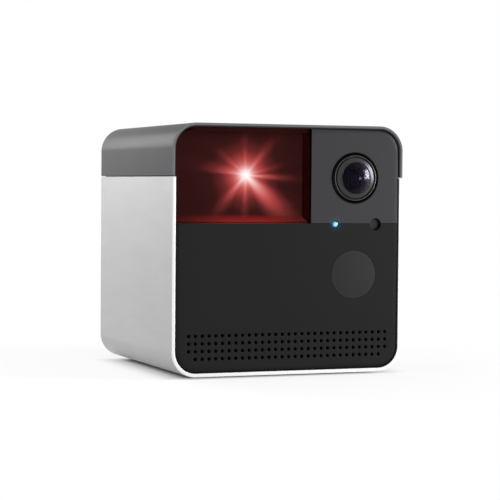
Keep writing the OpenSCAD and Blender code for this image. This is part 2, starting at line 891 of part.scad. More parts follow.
module base_pad() {
    color([0.12, 0.12, 0.12]) in_body() difference() {
        translate([0, mid_y, -pad_t]) linear_extrude(pad_t) {
            round_rect(-pad_w / 2, pad_w / 2, -pad_d / 2, pad_d / 2, edge_r);
        }
        rod_z(0, mid_y, insert_r + pad_gap, -pad_t - cut, cut);
    }
}

module tripod_insert() {
    color("goldenrod") in_body() difference() {
        union() {
            rod_z(0, mid_y, insert_r, fit, boss_top + insert_flange);
            rod_z(0, mid_y, insert_r + insert_lip, boss_top, boss_top + insert_flange);
        }
        rod_z(0, mid_y, tripod_d / 2, -cut, fit + tripod_depth);
    }
}

module base_screws() {
    color("gray") in_body() {
        for (p = base_screw_places()) {
            translate([p[0], p[1], 0]) {
                difference() {
                    cylinder(r1 = head_d / 2, r2 = screw_d / 2, h = head_h);
                    block(-head_d, head_d, -slot_half, slot_half, -cut, head_h / 3);
                }
                rod_z(0, 0, screw_d / 2, head_h / 2, base_pilot - tip_gap);
            }
        }
    }
}

module cap_screws() {
    color("gray") in_body() {
        for (side = [-1, 1], y = cap_screw_y) {
            rod_z(side * cap_screw_x, y, screw_d / 2, rail_top - rail_h - head_h, cap_pilot - tip_gap);
            rod_z(side * cap_screw_x, y, head_d / 2, rail_top - rail_h - head_h, rail_top - rail_h);
        }
    }
}

module front_screws() {
    color("gray") in_body() {
        for (p = front_screws_at) {
            screw_back(p[0], p[1], chamber_back + chassis_t, front_pilot + tip_gap);
        }
    }
}

// Camera

module lens_ring() {
    color([0.06, 0.06, 0.07]) in_body() turned(lens_x, lens_z) {
        round_rect(ring_in, ring_r, ring_front, ring_back, ring_soft);
        translate([ring_in + ring_soft, frame_back + fit]) {
            square([ring_wall + ring_flange_out, ring_flange - fit]);
        }
    }
}

// Metal ring with a thin lip, a groove and a cone that runs down to the glass
module lens_cone() {
    out = ring_in - fit;
    groove_out = out - cone_lip;
    groove_in = groove_out - cone_groove;
    color([0.55, 0.55, 0.56]) in_body() turned(lens_x, lens_z) polygon([
        [out, cone_front],
        [out, glass_back],
        [glass_r + run, glass_back],
        [glass_r + run, glass_y],
        [glass_r + run + cone_crest, glass_y],
        [groove_in, cone_front],
        [groove_in, cone_front + cone_groove_d],
        [groove_out, cone_front + cone_groove_d],
        [groove_out, cone_front]
    ]);
}

// Domed glass: a cap of a sphere on a short cylinder
module lens_glass() {
    rim = glass_r - glass_bevel;
    sphere_r = (rim * rim + dome_h * dome_h) / (2 * dome_h);
    color([0.1, 0.08, 0.14, 0.7]) in_body() {
        rod_y(lens_x, lens_z, glass_r, glass_y, glass_back);
        difference() {
            translate([lens_x, glass_y - dome_h + sphere_r, lens_z]) sphere(r = sphere_r, $fn = 128);
            block(-far, far, glass_y + run, far, -far, far);
        }
    }
}

module lens_barrel() {
    color([0.08, 0.08, 0.08]) in_body() difference() {
        union() {
            rod_y(lens_x, lens_z, glass_r + barrel_rim, barrel_y, barrel_back);
            rod_y(lens_x, lens_z, ring_in - fit, barrel_y, ring_back);
        }
        rod_y(lens_x, lens_z, glass_r - barrel_wall, barrel_y - cut, barrel_back + cut);
    }
}

module camera_board() {
    color("darkgreen") in_body() difference() {
        block(camera_screw_x - board_edge, camera_screw_x - board_edge + camera_board_w,
            barrel_back, camera_back, lens_z - camera_board_h / 2, lens_z + camera_board_h / 2);
        for (z = camera_screw_z) {
            rod_y(camera_screw_x, z, hole_r, barrel_back - cut, camera_back + cut);
        }
    }
}

module image_sensor() {
    color([0.2, 0.25, 0.3]) in_body() {
        block(lens_x - sensor_w / 2, lens_x + sensor_w / 2, barrel_back - sensor_t, barrel_back,
            lens_z - sensor_h / 2, lens_z + sensor_h / 2);
    }
}

module camera_screws() {
    color("gray") in_body() {
        for (z = camera_screw_z) {
            screw_back(camera_screw_x, z, camera_back, camera_pilot + tip_gap);
        }
    }
}

module camera_ribbon() {
    color("ivory") in_body() {
        block(lens_x - ribbon_w / 2, lens_x + ribbon_w / 2, camera_back + plug_d / 2,
            board_front - plug_d / 2, ribbon_z - ribbon_t / 2, ribbon_z + ribbon_t / 2);
    }
}

module ribbon_connectors() {
    color([0.15, 0.15, 0.15]) in_body() difference() {
        for (y = [camera_back, board_front - plug_d]) {
            block(lens_x - ribbon_w / 2 - 1, lens_x + ribbon_w / 2 + 1, y, y + plug_d,
                ribbon_z - plug_h / 2, ribbon_z + plug_h / 2);
        }
        block(lens_x - ribbon_w / 2 - run, lens_x + ribbon_w / 2 + run, camera_back + plug_d / 2 - run,
            board_front - plug_d / 2 + run, ribbon_z - ribbon_t / 2 - run, ribbon_z + ribbon_t / 2 + run);
    }
}

// Infrared lamp and sensors

module ir_window() {
    color([0.22, 0.22, 0.24]) in_body() rod_y(ir_x, ir_z, ir_r, face_y, face_y + ir_window_t);
}

module ir_board() {
    color("darkgreen") in_body() rod_y(ir_x, ir_z, ir_tube_r, ir_tube_back, ir_tube_back + small_board_t);
}

module ir_leds() {
    color([0.75, 0.75, 0.8]) in_body() {
        for (i = [0:ir_lamps - 1]) {
            a = i * 360 / ir_lamps;
            x = ir_x + ir_lamp_pcd * cos(a);
            z = ir_z + ir_lamp_pcd * sin(a);
            rod_y(x, z, ir_lamp_d / 2, ir_tube_back - ir_lamp_len, ir_tube_back);
            translate([x, ir_tube_back - ir_lamp_len, z]) sphere(d = ir_lamp_d);
        }
    }
}

module status_light_pipe() {
    color("lightskyblue") in_body() {
        rod_y(led_x, led_z, led_r, face_y, small_board_y - chip_h - run);
        rod_y(led_x, led_z, led_r + pipe_flange, frame_back + run, small_board_y - chip_h - run);
    }
}

module sensor_window() {
    color([0.3, 0.3, 0.32]) in_body() {
        rod_y(eye_x, eye_z, eye_r, face_y + eye_depth, frame_y);
        rod_y(eye_x, eye_z, eye_r - eye_step - fit, face_y + eye_depth, small_board_y - chip_h - run);
    }
}

module indicator_board() {
    color("darkgreen") in_body() {
        block(led_x - small_board_h / 2, eye_x + small_board_h / 2, small_board_y,
            small_board_y + small_board_t, led_z - small_board_h / 2, led_z + small_board_h / 2);
    }
}

module status_led() {
    color("white") in_body() {
        block(led_x - led_r, led_x + led_r, small_board_y - chip_h, small_board_y,
            led_z - led_chip_h / 2, led_z + led_chip_h / 2);
    }
}

module light_sensor() {
    color([0.1, 0.1, 0.1]) in_body() {
        block(eye_x - chip_w / 2, eye_x + chip_w / 2, small_board_y - chip_h, small_board_y,
            eye_z - chip_w / 2, eye_z + chip_w / 2);
    }
}

// Speaker

module grille_cloth() {
    color([0.08, 0.08, 0.08]) in_body() {
        block(-slot_w / 2 + fit, slot_w / 2 - fit, frame_y, frame_y + cloth_t,
            grille_z - slot_h / 2 + fit, grille_z + slot_h / 2 - fit);
    }
}

module speaker_outline(inset) {
    half_w = speaker_w / 2 - speaker_ear;
    round_rect(-half_w + inset, half_w - inset, speaker_z - speaker_h / 2 + inset,
        speaker_z + speaker_h / 2 - inset, speaker_h / 2 - inset - fit);
}

module speaker_frame() {
    color([0.15, 0.15, 0.15]) in_body() difference() {
        union() {
            block(-speaker_w / 2, speaker_w / 2, frame_back, speaker_y,
                grille_z - slot_h / 2 - speaker_wall, speaker_screw_z + screw_d);
            along_y(frame_back, speaker_back) speaker_outline(0);
        }
        along_y(frame_back - cut, speaker_back - speaker_wall) speaker_outline(speaker_wall);
        rod_y(0, speaker_z, magnet_d / 2 - magnet_step, speaker_y, speaker_back + cut);
        for (side = [-1, 1]) {
            rod_y(side * speaker_screw_x(), speaker_screw_z, hole_r, frame_back - cut, speaker_y + cut);
        }
    }
}

module speaker_cone() {
    color([0.3, 0.3, 0.3]) in_body() {
        along_y(cone_y, cone_y + cone_t) speaker_outline(speaker_wall + fit);
        rod_y(0, speaker_z, dust_cap_r, dust_cap_y, cone_y + cone_t / 2);
    }
}

module speaker_magnet() {
    color("darkgray") in_body() {
        rod_y(0, speaker_z, magnet_d / 2, speaker_back, speaker_back + magnet_len);
        rod_y(0, speaker_z, magnet_d / 2 - magnet_step - fit, speaker_y + magnet_step,
            speaker_back + magnet_step);
    }
}

module speaker_screws() {
    color("gray") in_body() {
        for (side = [-1, 1]) {
            screw_back(side * speaker_screw_x(), speaker_screw_z, speaker_y, speaker_pilot + tip_gap);
        }
    }
}

// Main board and back

module main_board() {
    color("darkgreen") in_body() difference() {
        block(-main_board_w / 2, main_board_w / 2, board_front, board_back, main_board_z,
            main_board_z + main_board_h);
        for (side = [-1, 1], z = board_screw_z) {
            rod_y(side * front_screw_x, z, hole_r, board_front - cut, board_back + cut);
        }
    }
}

module shield_can() {
    color("lightgray") in_body() difference() {
        block(can_x, can_x + can_w, board_front - can_d, board_front, can_z, can_z + can_h);
        block(can_x + can_t, can_x + can_w - can_t, board_front - can_d + can_t, board_front + cut,
            can_z + can_t, can_z + can_h - can_t);
    }
}

module board_screws() {
    color("gray") in_body() {
        for (side = [-1, 1], z = board_screw_z) {
            screw_back(side * front_screw_x, z, board_back, rear_ring_front + tip_gap);
        }
    }
}

module usb_outline(inset) {
    round_rect(-usb_w / 2 + inset, usb_w / 2 - inset, port_z - usb_h / 2 + inset,
        port_z + usb_h / 2 - inset, usb_h / 2 - inset - fit / 4);
}

module usb_socket() {
    color("silver") in_body() difference() {
        along_y(board_back, usb_back) usb_outline(0);
        along_y(usb_floor, usb_back + cut) usb_outline(usb_wall);
    }
}

module usb_tongue() {
    color([0.1, 0.1, 0.1]) in_body() {
        block(-tongue_w / 2, tongue_w / 2, usb_floor, usb_back - usb_lead,
            port_z - tongue_h / 2, port_z + tongue_h / 2);
    }
}

module reset_button() {
    color([0.16, 0.16, 0.17]) in_body() {
        rod_y(button_x, port_z, button_r, rear_in - run - button_lip, button_face);
        rod_y(button_x, port_z, button_r + button_lip_out, rear_in - run - button_lip, rear_in - run);
        rod_y(button_x, port_z, button_stem_r, plunger_top + run, rear_in - run);
    }
}

module reset_switch() {
    color("silver") in_body() difference() {
        block(button_x - switch_w / 2, button_x + switch_w / 2, board_back, switch_top,
            port_z - switch_w / 2, port_z + switch_w / 2);
        rod_y(button_x, port_z, plunger_r + run, plunger_foot - button_travel - fit, switch_top + cut);
    }
}

module switch_plunger() {
    color([0.1, 0.1, 0.1]) in_body() rod_y(button_x, port_z, plunger_r, plunger_foot, plunger_top);
}

// Laser head, drawn about the crossing of its two axes

module laser_bracket() {
    color([0.2, 0.2, 0.22]) at_gimbal() difference() {
        union() {
            block(-bracket_half, bracket_half, flange_y, pan_reach + pan_motor_d / 2 + sleeve_wall,
                bracket_z, bracket_top);
            block(-bracket_half, bracket_half, flange_y, flange_y + bracket_t,
                bracket_lug_z - boss_r, bracket_top);
            rod_z(0, pan_reach, pan_motor_d / 2 + fit + sleeve_wall, bracket_z - sleeve_h, bracket_top);
        }
        rod_z(0, 0, bush_r + fit / 2, bracket_z - cut, bracket_top + cut);
        rod_z(0, pan_reach, motor_shaft_d / 2 + swing, bracket_z - cut, bracket_top + cut);
        rod_z(0, pan_reach, pan_motor_d / 2 + fit, bracket_z - sleeve_h - cut, bracket_z);
        for (side = [-1, 1]) {
            rod_y(side * bracket_lug_x, bracket_lug_z, hole_r, flange_y - cut, flange_y + bracket_t + cut);
        }
    }
}

module bracket_screws() {
    color("gray") at_gimbal() {
        for (side = [-1, 1]) {
            screw_back(side * bracket_lug_x, bracket_lug_z, flange_y + bracket_t,
                frame_back - gimbal_y + tip_gap);
        }
    }
}

module pan_bush() {
    color("goldenrod") at_gimbal() difference() {
        union() {
            rod_z(0, 0, bush_r, bracket_z, bracket_top + bush_flange);
            rod_z(0, 0, bush_r + bush_lip, bracket_top, bracket_top + bush_flange);
        }
        rod_z(0, 0, pan_shaft_r + run, bracket_z - cut, bracket_top + cut);
    }
}

module pan_motor() {
    color("silver") at_gimbal() difference() {
        rod_z(0, pan_reach, pan_motor_d / 2, bracket_z - motor_len, bracket_z);
        rod_z(0, pan_reach, motor_shaft_d / 2 + run, bracket_z - motor_bore, bracket_z + cut);
    }
}

module pan_pinion() {
    color("ivory") at_gimbal() translate([0, pan_reach, 0]) {
        translate([0, 0, pan_gear_z]) linear_extrude(gear_w) {
            gear_outline(pinion_teeth, 270 + 180 / pinion_teeth);
        }
        rod_z(0, 0, motor_shaft_d / 2, bracket_z - motor_bore + tip_gap, pan_gear_top + tip_gap);
    }
}

// Fork on the pan shaft, with a plate behind it that holds the tilt motor
module pan_yoke() {
    plate_back = tilt_reach + tilt_motor_d / 2 + plate_rim;
    color([0.14, 0.14, 0.15]) at_gimbal() difference() {
        union() {
            block(-arm_out, arm_out, -arm_half, plate_back, yoke_z, yoke_top);
            for (side = [-1, 1]) {
                mirror([side < 0 ? 1 : 0, 0, 0]) {
                    block(arm_x, arm_out, -arm_half, arm_half, yoke_z, 0);
                    rod_x(0, 0, arm_half, arm_x, arm_out);
                }
            }
            block(motor_x, plate_x, plate_y, plate_back, yoke_z, 0);
            rod_x(tilt_reach, 0, tilt_motor_d / 2 + fit + tilt_sleeve, motor_x - sleeve_h, plate_x);
            rod_z(0, 0, pan_shaft_r, shaft_end, yoke_top);
        }
        rod_x(tilt_reach, 0, tilt_motor_d / 2 + fit, motor_x - sleeve_h - cut, motor_x);
        rod_x(tilt_reach, 0, motor_shaft_d / 2 + swing, motor_x - cut, plate_x + cut);
        rod_x(0, 0, tilt_pin_d / 2 + run / 2, -arm_out - cut, arm_out + cut);
        difference() {
            rod_z(0, 0, pan_shaft_r + cut, bracket_z - fit - clip_t - run, bracket_z - fit + run);
            rod_z(0, 0, pan_shaft_r - clip_groove, -far, 0);
        }
    }
}

module pan_gear() {
    color("ivory") at_gimbal() difference() {
        translate([0, 0, pan_gear_z]) linear_extrude(gear_w) gear_outline(pan_teeth, 90);
        rod_z(0, 0, pan_shaft_r + run / 2, pan_gear_z - cut, pan_gear_top + cut);
    }
}

module retaining_ring() {
    color("gray") at_gimbal() difference() {
        rod_z(0, 0, pan_shaft_r + clip_rim, bracket_z - fit - clip_t, bracket_z - fit);
        rod_z(0, 0, pan_shaft_r - clip_groove + run, shaft_end - cut, 0);
        block(-pan_shaft_r * clip_mouth, pan_shaft_r * clip_mouth, 0, far, shaft_end, 0);
    }
}

module tilt_pins() {
    color("silver") at_gimbal() {
        rod_x(0, 0, tilt_pin_d / 2, -arm_out, -laser_r - pin_clear);
        rod_x(0, 0, tilt_pin_d / 2, laser_r + pin_clear, arm_out);
    }
}

module tilt_motor() {
    color("silver") at_gimbal() difference() {
        rod_x(tilt_reach, 0, tilt_motor_d / 2, motor_x - motor_len, motor_x);
        rod_x(tilt_reach, 0, motor_shaft_d / 2 + run, motor_x - motor_bore, motor_x + cut);
    }
}

module tilt_pinion() {
    color("ivory") at_gimbal() translate([0, tilt_reach, 0]) {
        along_x(tilt_gear_x, tilt_gear_x + gear_w) gear_outline(pinion_teeth, 180 + 180 / pinion_teeth);
        rod_x(0, 0, motor_shaft_d / 2, motor_x - motor_bore + tip_gap, tilt_gear_x + gear_w + fit);
    }
}

module laser_cradle() {
    color([0.18, 0.18, 0.2]) at_gimbal() difference() {
        intersection() {
            union() {
                rod_y(0, 0, collar_r, -hood_r, tail);
                rod_x(0, 0, ear_r, -arm_x + 2 * fit, ear_x);
            }
            sphere(r = hood_in - run);
        }
        rod_y(0, 0, laser_r + run, -hood_r - cut, tail + cut);
        rod_x(0, 0, tilt_pin_d / 2 + run, -far, far);
    }
}

// Front of a hollow ball, wide enough to close the chamber's mouth over the whole travel
module laser_hood() {
    side_deg = cover_deg + pan_swing;
    color([0.1, 0.1, 0.11]) at_gimbal() difference() {
        sphere(r = hood_r, $fn = 96);
        sphere(r = hood_in, $fn = 96);
        rod_y(0, 0, laser_r + run, -far, 0);
        block(-far, far, -hood_r * cos(side_deg), far, -far, far);
        rotate([cover_deg + tilt_up, 0, 0]) block(-far, far, -far, far, -far, 0);
        rotate([-cover_deg - tilt_down, 0, 0]) block(-far, far, -far, far, 0, far);
    }
}

// Gear sector on the side of the cradle
module tilt_gear() {
    color("ivory") at_gimbal() difference() {
        along_x(tilt_gear_x, tilt_gear_x + gear_w) {
            intersection() {
                gear_outline(tilt_teeth, 0);
                polygon([
                    [0, 0],
                    far * [cos(sector), -sin(sector)],
                    [far, 0],
                    far * [cos(sector), sin(sector)]
                ]);
            }
            circle(ear_r);
        }
        rod_x(0, 0, tilt_pin_d / 2 + run, 0, far);
    }
}

module laser_module() {
    color("goldenrod") at_gimbal() difference() {
        rod_y(0, 0, laser_r, laser_front, tail + tail_out);
        rod_y(0, 0, laser_lens_d / 2 + run, -hood_r, lens_seat);
    }
}

module laser_lens() {
    color("red") at_gimbal() {
        rod_y(0, 0, laser_lens_d / 2, lens_step, lens_seat);
        difference() {
            translate([0, -hood_r + fit + laser_lens_d, 0]) sphere(r = laser_lens_d);
            block(-far, far, lens_step + run, far, -far, far);
        }
    }
}

lower_shell();
top_cap();
rear_cover();
front_frame();
front_panel();
laser_window();
camera_plate();
chassis();
base_pad();
tripod_insert();
base_screws();
cap_screws();
front_screws();
lens_ring();
lens_cone();
lens_glass();
lens_barrel();
camera_board();
image_sensor();
camera_screws();
camera_ribbon();
ribbon_connectors();
ir_window();
ir_board();
ir_leds();
status_light_pipe();
sensor_window();
indicator_board();
status_led();
light_sensor();
grille_cloth();
speaker_frame();
speaker_cone();
speaker_magnet();
speaker_screws();
main_board();
shield_can();
board_screws();
usb_socket();
usb_tongue();
reset_button();
reset_switch();
switch_plunger();
laser_bracket();
bracket_screws();
pan_bush();
pan_motor();
pan_pinion();
pan_yoke();
pan_gear();
retaining_ring();
tilt_pins();
tilt_motor();
tilt_pinion();
laser_cradle();
laser_hood();
tilt_gear();
laser_module();
laser_lens();
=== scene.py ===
import math
from collections import namedtuple

import bmesh
import bpy
import numpy as np
from bpy.props import FloatProperty, FloatVectorProperty, IntProperty, PointerProperty
from mathutils import Matrix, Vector
from mathutils.geometry import delaunay_2d_cdt


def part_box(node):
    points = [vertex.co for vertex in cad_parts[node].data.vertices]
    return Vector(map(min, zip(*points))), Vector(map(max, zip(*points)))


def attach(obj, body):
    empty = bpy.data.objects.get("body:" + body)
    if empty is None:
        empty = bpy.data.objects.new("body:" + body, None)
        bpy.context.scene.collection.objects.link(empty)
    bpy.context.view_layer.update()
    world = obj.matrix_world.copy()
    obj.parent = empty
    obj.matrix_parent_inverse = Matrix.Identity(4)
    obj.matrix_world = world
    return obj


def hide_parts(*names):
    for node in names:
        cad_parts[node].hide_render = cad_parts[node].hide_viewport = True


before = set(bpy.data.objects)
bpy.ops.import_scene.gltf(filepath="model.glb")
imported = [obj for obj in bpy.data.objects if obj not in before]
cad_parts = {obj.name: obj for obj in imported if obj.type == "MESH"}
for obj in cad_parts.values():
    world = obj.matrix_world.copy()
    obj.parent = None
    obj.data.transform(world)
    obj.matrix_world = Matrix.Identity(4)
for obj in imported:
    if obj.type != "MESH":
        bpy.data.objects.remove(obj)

bl_info = {
    "name": "Pet Camera",
    "version": (1, 0, 0),
    "blender": (4, 5, 0),
    "location": "View3D > Sidebar > Pet Camera",
    "description": "Shells, front panels, lens, laser window and finishes of a cube-shaped pet camera",
    "category": "Object",
}

MM = 0.001
# Points on a rounded corner of the casing's wall, and on one of its long edges
BEND, EDGE = 6, 25
# Play between two parts that fit together
GAP = 0.1 * MM
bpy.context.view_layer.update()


def linear(code):
    """Linear colour of an sRGB hex code such as 8A8A8C."""
    srgb = np.array([int(code[i:i + 2], 16) / 255 for i in (0, 2, 4)])
    return tuple(np.where(srgb <= 0.04045, srgb / 12.92, ((srgb + 0.055) / 1.055) ** 2.4).tolist())


def length(name, millimetres, text):
    """A length that a user may change, given in millimetres."""
    return FloatProperty(name=name, description=text, default=millimetres * MM, unit="LENGTH", precision=5)


def tint(name, code, text):
    """A colour that a user may change, given as an sRGB hex code."""
    return FloatVectorProperty(name=name, description=text, default=linear(code), size=3, subtype="COLOR")


class CasingSettings(bpy.types.PropertyGroup):
    """Sizes and colours of the metal shell, the top cap and the back."""

    edge_radius: length("Edge radius", 8.2, "Radius of the casing's four long edges")
    wall: length("Wall", 1.2, "Thickness of the shell and of the cap")
    lip_radius: length("Lip radius", 0.1, "Rounding of the shell's front and back edges")
    shell_chamfer: length("Shell chamfer", 0.12, "Chamfer inside the front lip of the shell")
    cap_chamfer: length("Cap chamfer", 0.5, "Chamfer inside the front lip of the cap")
    seam_bevel: length("Seam bevel", 0.12, "Bevel along the seam between shell and cap")
    insert_diameter: length("Insert diameter", 10, "Outer diameter of the tripod insert")
    thread_diameter: length("Thread diameter", 6.35, "Outer diameter of the tripod thread")
    thread_pitch: length("Thread pitch", 1.27, "Pitch of the tripod thread")
    thread_depth: length("Thread depth", 8, "Depth of the tripod thread")
    metal: tint("Aluminium", "ABABAB", "Bead-blasted aluminium of the shell")
    cap: tint("Cap", "434345", "Painted plastic of the top cap and the back")
    rubber: tint("Rubber", "2A2A2B", "Base pad")


class FrontSettings(bpy.types.PropertyGroup):
    """Sizes and colours of the front panels."""

    edge_width: length("Edge width", 1.7, "Width of the soft outer edge of the panels")
    edge_depth: length("Edge depth", 0.6, "Depth of the soft outer edge of the panels")
    seam_bevel: length("Seam bevel", 0.06, "Bevel along the seams and round the holes")
    hole_diameter: length("Hole diameter", 1.15, "Diameter of one hole of the speaker grille")
    row_spacing: length("Row spacing", 2.45, "Spacing of the rows of holes")
    grille_height: length("Grille height", 9.4, "Height of the grille's middle above the casing's underside")
    columns: IntProperty(name="Columns", description="Holes in one full row of the grille", default=31, min=3)
    rows: IntProperty(name="Rows", description="Rows of the grille", default=4, min=1)
    panel: tint("Lower panel", "0E0E0F", "Matte black panel with the speaker's holes")
    plate: tint("Camera plate", "242428", "Satin grey plate round the lens")
    smoke: tint("Window", "DCDCDC", "Light that the smoked window lets through")
    disc: tint("Infrared window", "262626", "Flush round window of the infrared lamp")


class LensSettings(bpy.types.PropertyGroup):
    """Sizes and colours of the camera's lens."""

    ring_diameter: length("Ring diameter", 16.6, "Outer diameter of the black trim ring")
    ring_wall: length("Ring wall", 0.75, "Wall of the trim ring")
    glass_diameter: length("Glass diameter", 10.2, "Diameter of the front glass")
    dome: length("Dome", 1.3, "Rise of the front glass")
    lip: length("Lip", 0.34, "Width of the bright lip round the cone")
    groove: length("Groove", 0.5, "Width of the groove between the lip and the cone")
    black: tint("Ring", "020203", "Satin black of the trim ring and the barrel")
    metal: tint("Cone", "080808", "Anodised metal of the cone round the glass")
    coating: tint("Coating", "D8CCE8", "Reflection of the coated glass")


class LightSettings(bpy.types.PropertyGroup):
    """Colours of the status light and the laser, and sizes of the laser's chamber and hood."""

    blue: tint("Status light", "A6E3F7", "Lit core of the status light")
    blue_rim: tint("Status light's rim", "1F6C92", "Edge of the status light")
    core: tint("Laser's core", "FFF0EE", "Hottest spot of the laser")
    chamber_depth: length("Chamber depth", 4.5, "Depth of the laser's chamber behind the window")
    hood_radius: length("Hood radius", 12, "Radius of the ball round the laser")
    hood_wall: length("Hood wall", 1.2, "Wall of the ball round the laser")


class StageSettings(bpy.types.PropertyGroup):
    """Camera and floor."""

    place: FloatVectorProperty(
        name="Camera place", description="Where the camera stands", size=3, subtype="TRANSLATION",
        unit="LENGTH", default=(-224.51 * MM, -570.756 * MM, 62.08 * MM), precision=5)
    yaw: FloatProperty(
        name="Yaw", description="Turn of the camera to the right of straight on", subtype="ANGLE",
        default=math.radians(21.562))
    pitch: FloatProperty(
        name="Pitch", description="Tilt of the camera below the horizon", subtype="ANGLE",
        default=math.radians(2.078))
    roll: FloatProperty(
        name="Roll", description="Turn of the camera about its own line of sight", subtype="ANGLE",
        default=math.radians(0.461))
    focal: FloatProperty(
        name="Focal length", description="Focal length in millimetres on a 36 mm wide sensor",
        default=128.606)
    floor: tint("Floor", "F6F6F7", "Pale floor and backdrop")


class PetCameraSettings(bpy.types.PropertyGroup):
    """All sizes and colours of the pet camera."""

    casing: PointerProperty(type=CasingSettings)
    front: PointerProperty(type=FrontSettings)
    lens: PointerProperty(type=LensSettings)
    light: PointerProperty(type=LightSettings)
    stage: PointerProperty(type=StageSettings)


def settings():
    """The sizes and colours in use."""
    return bpy.context.scene.pet_camera


# Outlines

def arc(centre, radius, start, stop, count):
    """Points on a circle from angle start to stop in degrees, and the directions away from its centre."""
    turn = np.radians(np.linspace(start, stop, count))
    away = np.stack([np.cos(turn), np.sin(turn)], 1)
    return np.asarray(centre) + radius * away, away


def soften(corners, radius, steps=5, closed=True):
    """Rounds each corner of an outline by a parabola that starts and ends a radius away from the corner."""
    corners = np.asarray(corners, float)

    def towards(other):
        gap = other - corners
        far = np.maximum(np.linalg.norm(gap, axis=1, keepdims=True), 1e-9)
        return corners + gap * np.minimum(0.45, radius / far)

    first, last = towards(np.roll(corners, 1, 0)), towards(np.roll(corners, -1, 0))
    t = np.linspace(0, 1, steps)[None, :, None]
    bent = (1 - t) ** 2 * first[:, None] + 2 * t * (1 - t) * corners[:, None] + t ** 2 * last[:, None]
    if closed:
        return bent.reshape(-1, 2)
    return np.concatenate([corners[:1], bent[1:-1].reshape(-1, 2), corners[-1:]])


# Surfaces

def in_space(flat, depth):
    """Points from rows of x and z, and their depth y."""
    return np.stack([flat[..., 0], np.broadcast_to(depth, flat.shape[:-1]), flat[..., 1]], -1).reshape(-1, 3)


def quads(rows, columns, start=0):
    """Corner numbers of the quads between rows of points, the last column joined to the first."""
    index = start + np.arange(rows * columns).reshape(rows, columns)
    index = np.concatenate([index, index[:, :1]], 1)
    return np.stack([index[:-1, :-1], index[:-1, 1:], index[1:, 1:], index[1:, :-1]], -1).reshape(-1, 4)


def turned(profile, centre, segments=96, closed=True):
    """A profile of radius and depth turned about a line along y through centre in x and z: x = cx + r
    cos(a), y = depth, z = cz + r sin(a). A closed profile is a ring; an open one ends on the axis."""
    profile = np.asarray(profile, float)
    r, y = profile.T
    if np.sum(r * np.roll(y, -1) - np.roll(r, -1) * y) > 0:
        profile = profile[::-1]
    if closed:
        profile = np.concatenate([profile, profile[:1]])
    a = np.linspace(0, 2 * np.pi, segments, endpoint=False)
    flat = np.array(centre) + profile[:, :1, None] * np.stack([np.cos(a), np.sin(a)], 1)
    return in_space(flat, profile[:, 1:]), quads(len(profile), segments).tolist()


def carried(path, away, section, bevel):
    """A closed wall section of inset and depth carried along an open path in x and z: a point lies on the
    path, moved against its outward direction by the inset. Both ends are bevelled and closed. Each point's
    inset comes third."""
    start, stop = path[1] - path[0], path[-2] - path[-1]
    start, stop = start / np.linalg.norm(start), stop / np.linalg.norm(stop)
    first, last = path[:1], path[-1:]
    path = np.concatenate([first, first + start * bevel, path[1:-1], last + stop * bevel, last])
    away = np.concatenate([away[:1], away, away[-1:]])
    shrink = np.zeros(len(path))
    shrink[[0, -1]] = bevel
    low, high = section.min(0), section.max(0)
    inset = np.clip(section[None, :, 0], low[0] + shrink[:, None], high[0] - shrink[:, None])
    depth = np.clip(section[None, :, 1], low[1] + shrink[:, None], high[1] - shrink[:, None])
    points = in_space(path[:, None] - away[:, None] * inset[..., None], depth)
    count = len(section)
    faces = quads(len(path), count).tolist()
    faces.append(list(range(count))[::-1])
    faces.append(list(range((len(path) - 1) * count, len(path) * count)))
    return points, faces, inset.ravel()


def flat_fill(loops):
    """Triangles that fill the first loop of points in x and z and leave the others open."""
    sizes = [len(loop) for loop in loops]
    starts = np.concatenate([[0], np.cumsum(sizes)])
    owner = np.repeat(np.arange(len(loops)), sizes)
    index = np.arange(starts[-1])
    following = index + 1
    following[starts[1:] - 1] = starts[:-1]
    flat = (np.concatenate(loops) / MM).tolist()
    edges = np.stack([index, following], 1).tolist()
    found = delaunay_2d_cdt(flat, edges, [], 1, 1e-6)
    triangles = np.array([[found[3][corner][0] for corner in face] for face in found[2]])
    own = owner[triangles]
    in_hole = (own[:, 0] == own[:, 1]) & (own[:, 1] == own[:, 2]) & (own[:, 0] > 0)
    return triangles[~in_hole]


def plate(outline, inward, depth, face, back, holes=()):
    """A slab seen from the front: its outline in x and z runs anticlockwise, and its front edge is a
    quarter ellipse, inset by inward and set back by depth at each point. Each hole is a loop, the
    directions away from its middle, and a profile of offset and depth from the face to the back."""
    levels = 7
    t = np.linspace(0, np.pi / 2, levels)[:, None, None]
    ring = outline + inward * (1 - np.cos(t))
    ring_y = face + depth * (1 - np.sin(t[..., 0]))
    rows = np.concatenate([outline[None], ring])
    rows_y = np.concatenate([np.full((1, len(outline)), back), ring_y])
    count = len(outline)
    points = [in_space(rows, rows_y)]
    faces = quads(len(rows), count).tolist()
    front = [np.arange((len(rows) - 1) * count, len(rows) * count)]
    rear = [np.arange(count)]
    front_loops, rear_loops = [rows[-1]], [outline]
    total = len(points[0])
    for loop, away, profile in holes:
        walls = loop + away * profile[:, 0, None, None]
        points.append(in_space(walls, profile[:, 1, None]))
        faces += quads(len(profile), len(loop), total).tolist()
        front.append(total + np.arange(len(loop)))
        rear.append(total + (len(profile) - 1) * len(loop) + np.arange(len(loop)))
        front_loops.append(walls[0])
        rear_loops.append(walls[-1])
        total += len(points[-1])
    faces += np.concatenate(front)[flat_fill(front_loops)].tolist()
    faces += np.concatenate(rear)[flat_fill(rear_loops)][:, ::-1].tolist()
    return np.concatenate(points), faces


